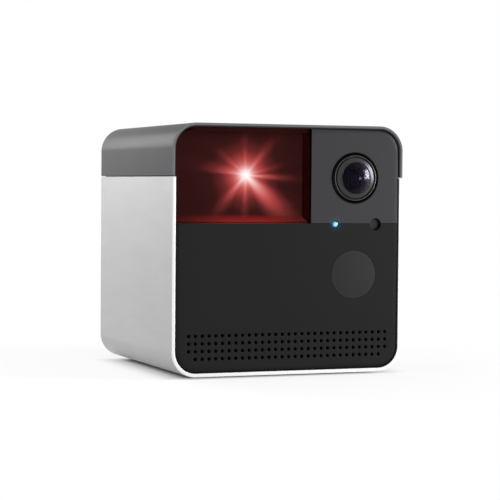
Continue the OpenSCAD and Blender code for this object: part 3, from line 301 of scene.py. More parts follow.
def drilled(surface, pair, centre, radius, count=64):
    """Opens a round hole along z through two facing quads: each becomes a flat ring of triangles round the
    hole, and a wall of quads joins the two rims."""
    points, faces = np.asarray(surface[0]), list(surface[1])
    circle = arc(centre, radius, 0, 360 * (1 - 1 / count), count)[0]
    rims = []
    for number in pair:
        corners = np.array(faces[number])
        rim_points = np.column_stack([circle, np.full(count, points[corners[0], 2])])
        index = np.concatenate([corners, len(points) + np.arange(count)])
        faces += index[flat_fill([points[corners, :2], circle])].tolist()
        rims.append(index[4:])
        points = np.concatenate([points, rim_points])
    wall = [rims[0], np.roll(rims[0], -1), np.roll(rims[1], -1), rims[1]]
    faces += np.stack(wall, 1).tolist()
    return points, [face for number, face in enumerate(faces) if number not in pair]


def round_hole(centre, profile, count=32):
    """A round hole: a loop that is a point, opened by the offset of each level of its profile."""
    loop, away = arc(centre, 0, 0, 360 * (1 - 1 / count), count)
    return loop, away, np.asarray(profile, float)


def joined(*shells):
    """Several surfaces as one list of points and faces."""
    points, faces, total = [], [], 0
    for shell_points, shell_faces in shells:
        points.append(np.asarray(shell_points))
        faces += [[corner + total for corner in face] for face in shell_faces]
        total += len(shell_points)
    return np.concatenate(points), faces


def make_piece(name, surface, material, node, sharp=32, inset=None, even=False):
    """Makes the piece of the casing that replaces a node, from points and faces: closes its seams and poles
    and turns its faces outwards. A wall's piece keeps each point's inset, and an even one takes its shading
    from its largest faces."""
    mesh = bpy.data.meshes.new(name)
    mesh.from_pydata(surface[0], [], surface[1])
    if inset is not None:
        mesh.attributes.new("inset", "FLOAT", "POINT").data.foreach_set("value", inset)
    shape = bmesh.new()
    shape.from_mesh(mesh)
    bmesh.ops.remove_doubles(shape, verts=shape.verts, dist=1e-7)
    bmesh.ops.recalc_face_normals(shape, faces=shape.faces)
    shape.to_mesh(mesh)
    shape.free()
    mesh.shade_smooth()
    mesh.set_sharp_from_angle(angle=math.radians(sharp))
    mesh.materials.append(material)
    piece = bpy.data.objects.new(name, mesh)
    bpy.context.scene.collection.objects.link(piece)
    if even:
        piece.modifiers.new("even_shading", "WEIGHTED_NORMAL").keep_sharp = True
    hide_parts(node)
    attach(piece, "casing")


# Materials

WHITE = (1, 1, 1, 1)
# Nearly all values of a noise lie in this range
NOISE = (0.3, 0.7)
# Size of the slow clouds of colour in a plain finish
CLOUD = 14 * MM


def add(tree, kind, inputs=(), out=0, **options):
    """Adds a node and gives one of its outputs, or the node itself where out is None. Options are its own
    settings, and inputs gives its sockets, by name or in their order, a value or another node's output."""
    made = tree.nodes.new("ShaderNode" + kind)
    for key, value in options.items():
        setattr(made, key, value)
    for socket, value in (inputs if isinstance(inputs, dict) else dict(enumerate(inputs))).items():
        if isinstance(value, bpy.types.NodeSocket):
            tree.links.new(value, made.inputs[socket])
        else:
            made.inputs[socket].default_value = value
    return made if out is None else made.outputs[out]


def rgba(colour):
    """A colour at full cover."""
    return (*colour, 1.0)


def new_material(name):
    """An empty material, its node tree, and the place on the piece in metres."""
    material = bpy.data.materials.new(name)
    material.use_nodes = True
    tree = material.node_tree
    tree.nodes.clear()
    return material, tree, add(tree, "TexCoord", out="Object")


def finished(material, shader):
    """Puts a shader on a material."""
    add(material.node_tree, "OutputMaterial", {"Surface": shader}, None)
    return material


def clouded(tree, place, size, low, high, detail=2.0):
    """Values between low and high that drift over the surface in clouds of a size in metres."""
    cloud = add(tree, "TexNoise", {"Vector": place, "Scale": 1 / size, "Detail": detail})
    return add(tree, "MapRange", (cloud, *NOISE, low, high))


def dimmed(tree, colour, *factors):
    """A colour times each factor in turn."""
    for factor in factors:
        colour = add(tree, "VectorMath", {0: colour, "Scale": factor}, operation="SCALE")
    return colour


def along(tree, place, axis, start, stop, low=0.0, high=1.0):
    """Values that go from low at start to high at stop along an axis."""
    return add(tree, "MapRange", (add(tree, "SeparateXYZ", (place,), axis), start, stop, low, high))


def from_axis(tree, place, centre, unit):
    """Distance from a line along y through centre in x and z, counted in a unit of so many metres."""
    offset = add(tree, "VectorMath", (place, (centre[0], 0, centre[1])), operation="SUBTRACT")
    flat = add(tree, "VectorMath", (offset, (1 / unit, 0, 1 / unit)), operation="MULTIPLY")
    return add(tree, "VectorMath", (flat,), "Value", operation="LENGTH")


def raised(tree, colour, rough, height, depth, gloss=0.5, **shader):
    """A surface that a height lifts by up to depth in millimetres."""
    return add(tree, "BsdfPrincipled", {
        "Base Color": colour, "Roughness": rough, "Specular IOR Level": gloss, **shader,
        "Normal": add(tree, "Bump", {"Height": height, "Distance": depth * MM, "Strength": 1.0})})


def grainy(tree, place, grain, colour, rough, depth, **shader):
    """A surface with a fine grain: noise of the grain's size in millimetres lifts it by depth in
    millimetres and spreads its roughness between two values."""
    fine = add(tree, "TexNoise", {"Vector": place, "Scale": 1 / (grain * MM), "Detail": 3.0})
    return raised(tree, colour, add(tree, "MapRange", (fine, *NOISE, *rough)), fine, depth, **shader)


def grained(name, colour, grain, roughness, spread=0.08, depth=0.02, shade=0.06, stretch=(1, 1, 1), **shader):
    """A plain finish with a fine grain, whose colour slow clouds shade a little. A small stretch draws the
    grain out into streaks along that axis, as brushing does."""
    material, tree, place = new_material(name)
    place = add(tree, "Mapping", {"Vector": place, "Scale": stretch})
    colour = dimmed(tree, colour, clouded(tree, place, CLOUD, 1 - shade, 1 + shade))
    rough = (roughness - spread, roughness + spread)
    return finished(material, grainy(tree, place, grain, colour, rough, depth, **shader))


def banded(name, low, high, pitch, axes, roughness, depth):
    """A surface with even bands: along each axis a sine of the pitch in millimetres, the sines of several
    axes multiplied into a weave. It runs from the low colour to the high one and rises by depth in
    millimetres."""
    material, tree, place = new_material(name)
    wave = 1.0
    for axis in axes:
        turns = tuple(2 * np.pi / (pitch * MM) * np.array(axis, float))
        phase = add(tree, "VectorMath", (place, turns), "Value", operation="DOT_PRODUCT")
        wave = add(tree, "Math", (add(tree, "Math", (phase,), operation="SINE"), wave), operation="MULTIPLY")
    height = add(tree, "MapRange", (wave, -0.4, 0.4), interpolation_type="SMOOTHSTEP")
    colour = add(tree, "Mix", {0: height, 6: rgba(linear(low)), 7: rgba(linear(high))}, 2, data_type="RGBA")
    rough = add(tree, "MapRange", (height, 0.0, 1.0, roughness + 0.08, roughness - 0.08))
    return finished(material, raised(tree, colour, rough, height, depth))


def dress(material, *names):
    """Gives CAD nodes a material."""
    for name in names:
        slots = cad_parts[name].data.materials
        slots.clear()
        slots.append(material)


# Stage

class PETCAMERA_OT_stage(bpy.types.Operator):
    """Sets up the camera, the pale floor, the white surroundings and the soft lamps"""

    bl_idname = "pet_camera.stage"
    bl_label = "Stage"

    def execute(self, context):
        set_camera()
        set_floor()
        set_world()
        set_lamps()
        return {"FINISHED"}


def stand(name, data, place, right, up, forward):
    """Puts a camera or a lamp at a place, where it looks along forward."""
    thing = bpy.data.objects.new(name, data)
    axes = np.column_stack([right, up, -forward, np.array(place)])
    thing.matrix_world = Matrix([*axes.tolist(), (0, 0, 0, 1)])
    bpy.context.scene.collection.objects.link(thing)
    return thing


def set_camera():
    """The camera looks along (sin yaw cos pitch, cos yaw cos pitch, -sin pitch), rolled about that line."""
    stage = settings().stage
    forward = np.array([
        math.sin(stage.yaw) * math.cos(stage.pitch),
        math.cos(stage.yaw) * math.cos(stage.pitch),
        -math.sin(stage.pitch)])
    level = np.array([math.cos(stage.yaw), -math.sin(stage.yaw), 0.0])
    upright = np.cross(level, forward)
    right = math.cos(stage.roll) * level + math.sin(stage.roll) * upright
    up = -math.sin(stage.roll) * level + math.cos(stage.roll) * upright
    data = bpy.data.cameras.new("camera")
    data.sensor_width, data.lens = 36.0, stage.focal
    data.clip_start, data.clip_end = 0.01, 20.0
    bpy.context.scene.camera = stand("camera", data, stage.place, right, up, forward)


def set_floor():
    """A wide disc of paper that turns white a little way from the object and then fades into the white
    surroundings, so the shadow under the edges stays and no horizon shows."""
    radius, sides = 3.0, 96
    angle = np.linspace(0, 2 * np.pi, sides, endpoint=False)
    points = np.stack([radius * np.cos(angle), radius * np.sin(angle), 0 * angle], 1)
    mesh = bpy.data.meshes.new("floor")
    mesh.from_pydata(points, [], [list(range(sides))])
    # Where each fade starts and ends, in metres from the middle, and the share of white that it adds
    fades = ((0.037, 0.046, 0.75), (0.06, 0.4, 0.25))
    # The shadow reaches this much less far in front and behind than at the sides
    shorter = 7 * MM
    material, tree, place = new_material("matte_paper_floor")
    across = add(tree, "VectorMath", (place,), operation="ABSOLUTE")
    across = add(tree, "VectorMath", (across, (0, shorter, 0)), operation="ADD")
    reach = add(tree, "Math", add(tree, "SeparateXYZ", (across,), None).outputs[:2], operation="MAXIMUM")
    white = add(tree, "Math", [
        add(tree, "MapRange", (reach, start, stop, 0.0, share), interpolation_type="SMOOTHSTEP")
        for start, stop, share in fades], operation="ADD")
    paper = add(tree, "BsdfDiffuse", {"Color": rgba(settings().stage.floor)})
    glow = add(tree, "Emission", {"Color": WHITE, "Strength": 1.0})
    mesh.materials.append(finished(material, add(tree, "MixShader", (white, paper, glow))))
    floor = bpy.data.objects.new("floor", mesh)
    bpy.context.scene.collection.objects.link(floor)


def set_world():
    """White to the eye, in mirrors and through glass, and a plain soft light on everything else."""
    world = bpy.data.worlds.new("white_surroundings")
    world.use_nodes = True
    tree = world.node_tree
    tree.nodes.clear()
    path = add(tree, "LightPath", out=None).outputs
    seen = path["Is Camera Ray"]
    for ray in ("Is Glossy Ray", "Is Transmission Ray"):
        seen = add(tree, "Math", (seen, path[ray]), operation="MAXIMUM")
    soft, white = [
        add(tree, "Background", {"Color": WHITE, "Strength": strength}) for strength in (0.65, 1.0)]
    add(tree, "OutputWorld", {"Surface": add(tree, "MixShader", (seen, soft, white))}, None)
    bpy.context.scene.world = world


def set_lamps():
    """Soft boxes that look at the object's middle: name, place, width, height in metres, power in watts."""
    target = np.array([0.0, 0.0, 40 * MM])
    boxes = (
        ("overhead_box", (-0.15, -0.1, 0.9), 0.9, 0.9, 1.0),
        ("right_box", (0.95, -0.5, 0.24), 0.38, 0.44, 10.0),
        ("edge_box", (1.0, 0.06, 0.31), 0.35, 0.6, 0.6),
        ("left_box", (-0.55, -0.05, 0.42), 0.3, 0.3, 1.2),
        ("back_box", (-0.42, 1.0, 0.38), 0.3, 0.48, 3.4),
        ("small_lamp", (0.48, -0.77, 0.055), 0.05, 0.05, 1.4),
    )
    for name, place, width, height, power in boxes:
        data = bpy.data.lights.new(name, "AREA")
        data.shape, data.size, data.size_y, data.energy = "RECTANGLE", width, height, power
        forward = target - np.array(place)
        forward = forward / np.linalg.norm(forward)
        right = np.cross(forward, (0, 0, 1) if abs(forward[2]) < 0.95 else (0, 1, 0))
        right = right / np.linalg.norm(right)
        stand(name, data, place, right, np.cross(right, forward), forward)


# Casing

CasingBox = namedtuple("CasingBox", "left front bottom right back top")
FaceBox = namedtuple("FaceBox", "left bottom right top front back")


def casing_box():
    """Sides of the casing."""
    low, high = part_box("lower_shell")
    return CasingBox(low.x, low.y, low.z, high.x, high.y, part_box("top_cap")[1].z)


def wall_section(chamfer):
    """Section of the casing's wall: inset from the outside, and depth, with its corners rounded and the
    inner corner of its front lip chamfered."""
    wall, front, back = settings().casing.wall, casing_box().front, casing_box().back
    corners = [(0, front), (wall - chamfer, front), (wall, front + chamfer), (wall, back), (0, back)]
    return soften(corners, settings().casing.lip_radius, BEND)


def wall_path(sides, level, height, start):
    """Path in x and z from a level on one side of the casing, round two long edges, to the same level on
    the other side, and the directions outwards. The edges' middles lie at height, and the first bend begins
    at start in degrees."""
    radius = settings().casing.edge_radius
    ends, bends = [], []
    for side, angle in zip(sides, (start, start + 90)):
        outward = np.sign(side)
        ends.append(([(side, level)], [(outward, 0)]))
        bends.append(arc((side - outward * radius, height), radius, angle, angle + 90, EDGE))
    return [np.concatenate(part) for part in zip(ends[0], *bends, ends[1])]


def blasted_aluminium():
    """Bead-blasted, clear-anodised aluminium: a bright satin metal with a fine grain, and lips that were
    cut bright after blasting. The grain is about 0.1 mm, drawn at 0.45 mm so that it shows."""
    grain, streak, cut_depth = 0.45 * MM, 3.2 * MM, 0.12 * MM
    front = casing_box().front
    material, tree, place = new_material("blasted_aluminium")
    drawn_out = add(tree, "Mapping", {"Vector": place, "Scale": (1, 0.18, 1)})
    tone = clouded(tree, drawn_out, streak, 0.97, 1.03, 3.0)
    fine = add(tree, "TexNoise", {"Vector": place, "Scale": 1 / grain, "Detail": 4.0})
    speck = add(tree, "MapRange", (fine, 0.35, 0.65, 0.95, 1.05))
    colour = dimmed(tree, settings().casing.metal, tone, speck)
    rough = add(tree, "MapRange", (fine, *NOISE, 0.4, 0.52))
    blasted = raised(tree, colour, rough, fine, 0.012, Metallic=1.0)
    cut = add(tree, "BsdfPrincipled", {
        "Base Color": rgba(linear("C6C6C8")), "Metallic": 1.0, "Roughness": 0.52})
    lip = along(tree, place, "Y", front + cut_depth, front + cut_depth / 2)
    return finished(material, add(tree, "MixShader", (lip, blasted, cut)))


def cap_plastic():
    """ABS painted outside: even grey with a fine grain and a soft sheen, paler on the lip's front edge, a
    painted highlight, and darker from the chamfer inside the lip inwards, a painted shade. The paint's grain
    is about 0.1 mm, drawn at 0.4 mm."""
    casing = settings().casing
    front, edge = casing_box().front, casing.wall - casing.cap_chamfer
    material, tree, place = new_material("painted_abs")
    inset = add(tree, "Attribute", out="Fac", attribute_name="inset")
    fade, highlight_reach = 0.1 * MM, 0.4 * MM
    # Painted shade: the colour falls to 0.4 from the chamfer inside the lip inwards
    painted_chamfer_shade = add(tree, "MapRange", (inset, edge, edge + fade, 1.0, 0.4))
    # Painted highlight: the lip's front edge is up to 2.2 times paler
    painted_lip_highlight = along(tree, place, "Y", front + fade, front + highlight_reach, 2.2, 1.0)
    colour = dimmed(tree, casing.cap, clouded(tree, place, CLOUD, 0.97, 1.03), painted_chamfer_shade, painted_lip_highlight)
    return finished(material, grainy(tree, place, 0.4, colour, (0.34, 0.46), 0.006, gloss=0.06))


class PETCAMERA_OT_casing(bpy.types.Operator):
    """Builds the metal shell and the top cap"""

    bl_idname = "pet_camera.casing"
    bl_label = "Casing"

    def execute(self, context):
        casing, box = settings().casing, casing_box()
        radius, bevel = casing.edge_radius, casing.seam_bevel
        shell_top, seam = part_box("lower_shell")[1].z, 0.2 * MM
        section = wall_section(casing.shell_chamfer)
        path = wall_path((box.left, box.right), shell_top, box.bottom + radius, 180)
        shell = carried(*path, section, bevel)[:2]
        # The quads on both sides of the flat underside, which the tripod insert goes through
        flat = (EDGE + 1) * len(section)
        inside, outside = flat + 3 * BEND - 1, flat + len(section) - 1
        low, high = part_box("tripod_insert")
        insert = ((low.x + high.x) / 2, (low.y + high.y) / 2)
        shell = drilled(shell, (outside, inside), insert, casing.insert_diameter / 2 + GAP)
        make_piece("lower_shell_skin", shell, blasted_aluminium(), "lower_shell")
        path = wall_path((box.right, box.left), shell_top + seam, box.top - radius, 0)
        points, faces, inset = carried(*path, wall_section(casing.cap_chamfer), bevel)
        make_piece("top_cap_skin", (points, faces), cap_plastic(), "top_cap", inset=inset)
        return {"FINISHED"}


# Front panels

def face_box():
    """Sides of the front face, its front and the panels' back."""
    low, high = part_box("front_panel")
    return FaceBox(low.x, low.z, high.x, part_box("laser_window")[1].z, low.y, high.y)


def middle(node):
    """Middle of a node in x and z."""
    low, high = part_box(node)
    return ((low.x + high.x) / 2, (low.z + high.z) / 2)


def notch(centre, radius, seam, below, count=16):
    """Arc of a round port that a seam cuts, from left to right: the part below the seam, or the part
    above."""
    dip = math.degrees(math.asin((seam - centre[1]) / radius))
    return arc(centre, radius, 180 - dip, 360 + dip if below else dip, count)


def rim(points, away, wide, deep):
    """A stretch of a plate's outline: its points, its inward insets and the depth of its soft edge."""
    return points, -away * wide, np.full(len(points), deep)


def around(*stretches):
    """Joins stretches of outline into one loop."""
    return tuple(np.concatenate(parts) for parts in zip(*stretches))


def panel_finish(name, colour, roughness, gloss):
    """Moulded ABS with a fine spark-eroded texture: it scatters light evenly and shows no mirror image, and
    the walls of its holes are darker, a painted shade. The texture's grain is 0.15 mm, drawn at 0.3 mm.
    Round the status light it shows faint light, exp(-r^2 / 2.4) at r millimetres."""
    face, spread, fall_off = face_box().front, 0.06, 2.4
    mouth, deep = face + 0.2 * MM, face + 0.5 * MM
    material, tree, place = new_material(name)
    # Painted shade: the colour falls to 0.15 down the walls of the holes
    inside = along(tree, place, "Y", mouth, deep, 1.0, 0.15)
    colour = dimmed(tree, colour, clouded(tree, place, 20 * MM, 0.96, 1.04), inside)
    away = from_axis(tree, place, middle("status_light_pipe"), MM)
    square = add(tree, "Math", (away, away), operation="MULTIPLY")
    spill = add(tree, "Math", (math.exp(-1 / fall_off), square), operation="POWER")
    glow = {"Emission Color": dimmed(tree, linear("003852"), spill), "Emission Strength": 1.0}
    rough = (roughness - spread, roughness + spread)
    return finished(material, grainy(tree, place, 0.3, colour, rough, 0.006, gloss=gloss, **glow))


def smoked_acrylic():
    """Polished smoked acrylic: clear enough to see the laser's chamber, with a faint mirror sheen, and
    inked black on the side wall beside the bright shell."""
    left, ink_depth = face_box().left, 0.05 * MM
    material, tree, place = new_material("smoked_acrylic")
    ink = along(tree, place, "X", left + ink_depth, left + 3 * ink_depth)
    smoke = dimmed(tree, settings().front.smoke, clouded(tree, place, 25 * MM, 0.97, 1.03), ink)
    clear = add(tree, "BsdfTransparent", {"Color": smoke})
    mirror = add(tree, "BsdfGlossy", {"Color": WHITE, "Roughness": 0.05})
    sheen = add(tree, "Fresnel", {"IOR": 1.05})
    return finished(material, add(tree, "MixShader", (sheen, clear, mirror)))


class PETCAMERA_OT_front(bpy.types.Operator):
    """Builds the lower panel with its grille, the smoked window and the camera plate"""

    bl_idname = "pet_camera.front"
    bl_label = "Front panels"

    def execute(self, context):
        front = settings().front
        left, bottom, right, top, face, back = face_box()
        radius = settings().casing.edge_radius - settings().casing.wall - GAP
        wide, deep, bevel = front.edge_width, front.edge_depth, front.seam_bevel
        light, light_r = middle("status_light_pipe"), 1.25 * MM
        eye, eye_r = middle("sensor_window"), 2.0 * MM
        low_seam, high_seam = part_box("front_panel")[1].z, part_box("laser_window")[0].z
        split = (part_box("laser_window")[1].x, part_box("camera_plate")[0].x)

        def corner(x, z, across, upwards):
            """Corner of an outer edge and a seam, or of two seams, with its inset across and upwards."""
            return np.array([[x, z]]), np.array([[across, upwards]]), np.array([bevel])

        def bend(x, z, start):
            """Round corner of the outer edge about a middle, from an angle in degrees."""
            return rim(*arc((x, z), radius, start, start + 90, 17), wide, deep)

        def port(centre, size, below):
            """Edge of a round port, from right to left on the panel below the seam, from left to right
            above it."""
            points, away = notch(centre, size, low_seam if below else high_seam, below)
            stretch = rim(points, -away, bevel, bevel)
            return tuple(part[::-1] for part in stretch) if below else stretch

        lower = around(
            corner(left, low_seam, wide, -bevel),
            bend(left + radius, bottom + radius, 180),
            bend(right - radius, bottom + radius, 270),
            corner(right, low_seam, -wide, -bevel),
            port(eye, eye_r, True),
            port(light, light_r, True),
        )
        disc, play, ledge, sunk = 7.95 * MM, 0.06 * MM, 1.1 * MM, 1.3 * MM
        holes = [round_hole(middle("ir_window"), [
            (disc + play + bevel, face), (disc + play, face + bevel), (disc + play, face + sunk),
            (disc - ledge, face + sunk), (disc - ledge, back)], 72)]
        hole, soft = front.hole_diameter / 2, 0.3 * bevel
        profile = [(hole + bevel, face), (hole + soft, face + soft), (hole, face + bevel), (hole, back)]
        holes += [round_hole(place, profile, 20) for place in grille_places()]
        finish = panel_finish("textured_black_abs", front.panel, 0.55, 0.11)
        panel = plate(*lower, face, back, holes)
        make_piece("front_panel_skin", panel, finish, "front_panel", even=True)

        window = around(
            corner(left, high_seam, wide, bevel),
            corner(split[0], high_seam, -bevel, bevel),
            corner(split[0], top, -bevel, -wide),
            bend(left + radius, top - radius, 90),
        )
        pane = plate(*window, face, back)
        make_piece("laser_window_skin", pane, smoked_acrylic(), "laser_window", even=True)

        upper = around(
            corner(split[1], high_seam, bevel, bevel),
            port(light, light_r, False),
            port(eye, eye_r, False),
            corner(right, high_seam, -wide, bevel),
            bend(right - radius, top - radius, 0),
            corner(split[1], top, bevel, -wide),
        )
        play = 0.08 * MM
        hole = settings().lens.ring_diameter / 2 + play
        profile = [(hole + bevel, face), (hole, face + bevel), (hole, back)]
        holes = [round_hole(middle("lens_glass"), profile, 96)]
        finish = panel_finish("satin_grey_abs", front.plate, 0.45, 0.18)
        panel = plate(*upper, face, back, holes)
        make_piece("camera_plate_skin", panel, finish, "camera_plate", even=True)
        return {"FINISHED"}


def grille_places():
    """Middles of the grille's holes: full rows, with the lowest row one hole shorter at each end."""
    front = settings().front
    side = 4.5 * MM
    across = np.linspace(face_box().left + side, face_box().right - side, front.columns)
    height = casing_box().bottom + front.grille_height
    places = []
    for row in range(front.rows):
        z = height + (row - (front.rows - 1) / 2) * front.row_spacing
        places += [(x, z) for x in (across[1:-1] if row == 0 else across)]
    return places


# Camera lens

class PETCAMERA_OT_lens(bpy.types.Operator):
    """Builds the trim ring, the metal cone, the barrel and the coated glass"""

    bl_idname = "pet_camera.lens"
    bl_label = "Camera lens"

    def execute(self, context):
        lens = settings().lens
        centre = middle("lens_glass")
        ring_low, ring_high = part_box("lens_ring")
        cone_low, cone_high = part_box("lens_cone")
        barrel_low, barrel_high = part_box("lens_barrel")
        glass_low, glass_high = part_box("lens_glass")
        black = grained("satin_black_anodised", lens.black, 0.3, 0.32, depth=0.004, gloss=0.02)

        outer, inner = lens.ring_diameter / 2, lens.ring_diameter / 2 - lens.ring_wall
        chamfer, rounding = 0.3 * MM, 0.22 * MM
        ring = soften([
            (outer, ring_high.y), (outer, ring_low.y), (inner + chamfer, ring_low.y),
            (inner, ring_low.y + chamfer), (inner, ring_high.y)], rounding)
        make_piece("lens_ring_trim", turned(ring, centre), black, "lens_ring")

        glass_r, play = lens.glass_diameter / 2, 0.05 * MM
        lip, front = inner - GAP, ring_low.y + GAP
        edge, foot, bevel = lip - lens.lip, lip - lens.lip - lens.groove, 0.07 * MM
        seat, floor = glass_r + play, front + 0.6 * MM
        # The collar round the glass: outer radius at its front and at its foot, and height
        collar, flare, collar_height = glass_r + 0.12 * MM, glass_r + 0.22 * MM, 0.43 * MM
        rounding = 0.06 * MM
        cone = soften([
            (lip, front + GAP), (lip, cone_high.y), (seat, cone_high.y), (seat, cone_low.y),
            (collar, cone_low.y), (flare, cone_low.y + collar_height), (foot, front), (foot, floor),
            (edge, floor), (edge, front + GAP), (edge + bevel, front), (lip - bevel, front)], rounding)
        finish = turned_metal(centre, front)
        make_piece("lens_cone_turned", turned(cone, centre), finish, "lens_cone")

        bore, sleeve = glass_r - 1.2 * MM, glass_r + 0.4 * MM
        first, spacing, step = barrel_low.y + 0.6 * MM, 0.7 * MM, 0.5 * MM
        baffles = [(bore - step * (i % 2), first + spacing * (i // 2)) for i in range(8)]
        barrel = [(sleeve, barrel_high.y), (sleeve, barrel_low.y), (bore, barrel_low.y), *baffles,
                  (bore, barrel_high.y)]
        make_piece("lens_barrel_baffled", turned(barrel, centre), black, "lens_barrel")

        inside, behind = barrel_low.y + 1.0 * MM, barrel_low.y + 3.0 * MM
        element_r, element_dome = bore - 0.7 * MM, 0.9 * MM
        dome = dome_profile(glass_r - play, lens.dome, glass_low.y, glass_high.y)
        element = dome_profile(element_r, element_dome, inside, behind)
        glass = joined(*[turned(profile, centre, closed=False) for profile in (dome, element)])
        finish = coated_glass(glass_high.y, inside)
        make_piece("lens_glass_coated", glass, finish, "lens_glass")
        return {"FINISHED"}


def dome_profile(radius, rise, front, back):
    """Half of a domed lens: a circle's arc from the axis at the front out to the rim, a wall and a flat
    back."""
    sphere = (radius ** 2 + rise ** 2) / (2 * rise)
    swing = math.degrees(math.asin(radius / sphere))
    curve = arc((0, front + sphere), sphere, -90, -90 + swing, 24)[0]
    curve[0, 0] = 0
    return np.concatenate([curve, [(radius, back), (0, back)]])


def turned_metal(centre, front):
    """Black-anodised aluminium cut on a lathe: rings about 0.05 mm apart, drawn at 0.18 mm, round the lens,
    a silky sheen, and a groove behind the lip's front that is dull and painted black, a painted shade."""
    pitch, dark, dull = 0.18 * MM, front + 0.25 * MM, 0.9
    material, tree, place = new_material("turned_aluminium")
    phase = from_axis(tree, place, centre, pitch / (2 * np.pi))
    wave = add(tree, "Math", (phase,), operation="SINE")
    silk = add(tree, "MapRange", (wave, -1.0, 1.0, 0.26, 0.32))
    # Painted shade: the colour falls to black in the groove behind the lip's front
    shade = along(tree, place, "Y", front + GAP, dark, 1.0, 0.0)
    rough = add(tree, "Mix", {0: shade, 2: dull, 3: silk}, data_type="FLOAT")
    colour = dimmed(tree, settings().lens.metal, shade)
    return finished(material, raised(tree, colour, rough, wave, 0.002, gloss=0.55))


def coated_glass(front, back):
    """Coated lens glass: clear and dark seen straight on, with a lavender mirror sheen from its coating
    that grows with the third power of the slant up to 0.3, crisp on the front dome and soft on the element
    behind it."""
    material, tree, place = new_material("coated_lens_glass")
    haze = add(tree, "TexNoise", {"Vector": place, "Scale": 1 / (4 * MM), "Detail": 1.0})
    crisp = add(tree, "MapRange", (haze, 0.0, 1.0, 0.14, 0.16))
    rough = along(tree, place, "Y", front, back, crisp, 0.42)
    clear = add(tree, "BsdfTransparent", {"Color": rgba(linear("D8D0E0"))})
    mirror = add(tree, "BsdfGlossy", {"Color": rgba(settings().lens.coating), "Roughness": rough})
    slant = add(tree, "LayerWeight", {"Blend": 0.5}, "Facing")
    cube = add(tree, "Math", (slant, 3.0), operation="POWER")
    grown = add(tree, "Math", (cube, 1.8, 0.003), operation="MULTIPLY_ADD")
    sheen = add(tree, "Math", (grown, 0.3), operation="MINIMUM")
    return finished(material, add(tree, "MixShader", (sheen, clear, mirror)))


# Lamp and sensors

class PETCAMERA_OT_sensors(bpy.types.Operator):
    """Builds the infrared window, the status light and the light sensor's window"""

    bl_idname = "pet_camera.sensors"
    bl_label = "Lamp and sensors"

    def execute(self, context):
        low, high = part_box("ir_window")
        radius, rounding = (high.x - low.x) / 2, 0.05 * MM
        corners = [(0, low.y), (radius, low.y), (radius, high.y), (0, high.y)]
        disc = soften(corners, rounding, closed=False)
        finish = grained("infrared_acrylic", settings().front.disc, 0.3, 0.5, depth=0.003, gloss=0.08)
        disc = turned(disc, middle("ir_window"), closed=False)
        make_piece("ir_window_disc", disc, finish, "ir_window")

        low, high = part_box("status_light_pipe")
        centre, shoulder = middle("status_light_pipe"), low.y + 1.6 * MM
        radius, rise, stem = 0.95 * MM, 0.2 * MM, 0.8 * MM
        dome = dome_profile(radius, rise, low.y, shoulder)[:-1]
        pipe = np.concatenate([dome, [(stem, shoulder), (stem, high.y), (0, high.y)]])
        pipe = turned(pipe, centre, 48, closed=False)
        make_piece("status_light_dome", pipe, lit_pipe(centre, radius), "status_light_pipe")

        low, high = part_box("sensor_window")
        radius, rise, sunk = (high.x - low.x) / 2, 0.1 * MM, 0.6 * MM
        window = dome_profile(radius, rise, low.y + sunk, high.y)
        finish = grained("diffusing_acrylic", linear("303032"), 0.2, 0.5, depth=0.003, gloss=0.15)
        window = turned(window, middle("sensor_window"), 48, closed=False)
        make_piece("sensor_window_lens", window, finish, "sensor_window")
        return {"FINISHED"}


def lit_pipe(centre, radius):
    """Clear acrylic light pipe, lit from behind: pale blue in the middle, deeper blue at its rim."""
    light = settings().light
    material, tree, place = new_material("lit_acrylic_pipe")
    reach = from_axis(tree, place, centre, radius)
    fade = add(tree, "MapRange", (reach, 0.45, 1.0), interpolation_type="SMOOTHSTEP")
    colour = add(tree, "Mix", {0: fade, 6: rgba(light.blue), 7: rgba(light.blue_rim)}, 2, data_type="RGBA")
    return finished(material, add(tree, "BsdfPrincipled", {
        "Base Color": rgba(linear("0A1A22")), "Roughness": 0.15, "Emission Color": colour,
        "Emission Strength": 1.0}))


# Laser

# Rays of the laser's star: angle in degrees, reach in millimetres, half width in degrees
RAYS = (
    (-3, 7.8, 9), (15, 5.8, 8), (-43, 11.5, 27), (-91, 6.4, 10), (-130, 7.4, 16),
    (173, 7.0, 22), (140, 5.8, 10), (92, 5.9, 10), (50, 6.7, 14),
)
# Colours of the laser's light on a wall, from no brightness to full
GLOW = (
    (0.0, "2A100F"), (0.09, "371514"), (0.2, "6A2827"), (0.3, "9C3C3A"), (0.37, "B34C4A"), (0.45, "C8625F"),
    (0.55, "D98582"), (0.67, "EBAEAC"), (0.82, "F8D8D6"), (1.0, "FFEEEC"),
)


def set_stops(ramp, stops):
    """Gives a colour ramp its stops, each a place from 0 to 1 and a colour, and gives back the ramp's
    output."""
    elements = ramp.color_ramp.elements
    for number, (at, colour) in enumerate(stops):
        spot = elements[number] if number < 2 else elements.new(at)
        spot.position, spot.color = at, rgba(colour)
    return ramp.outputs["Color"]


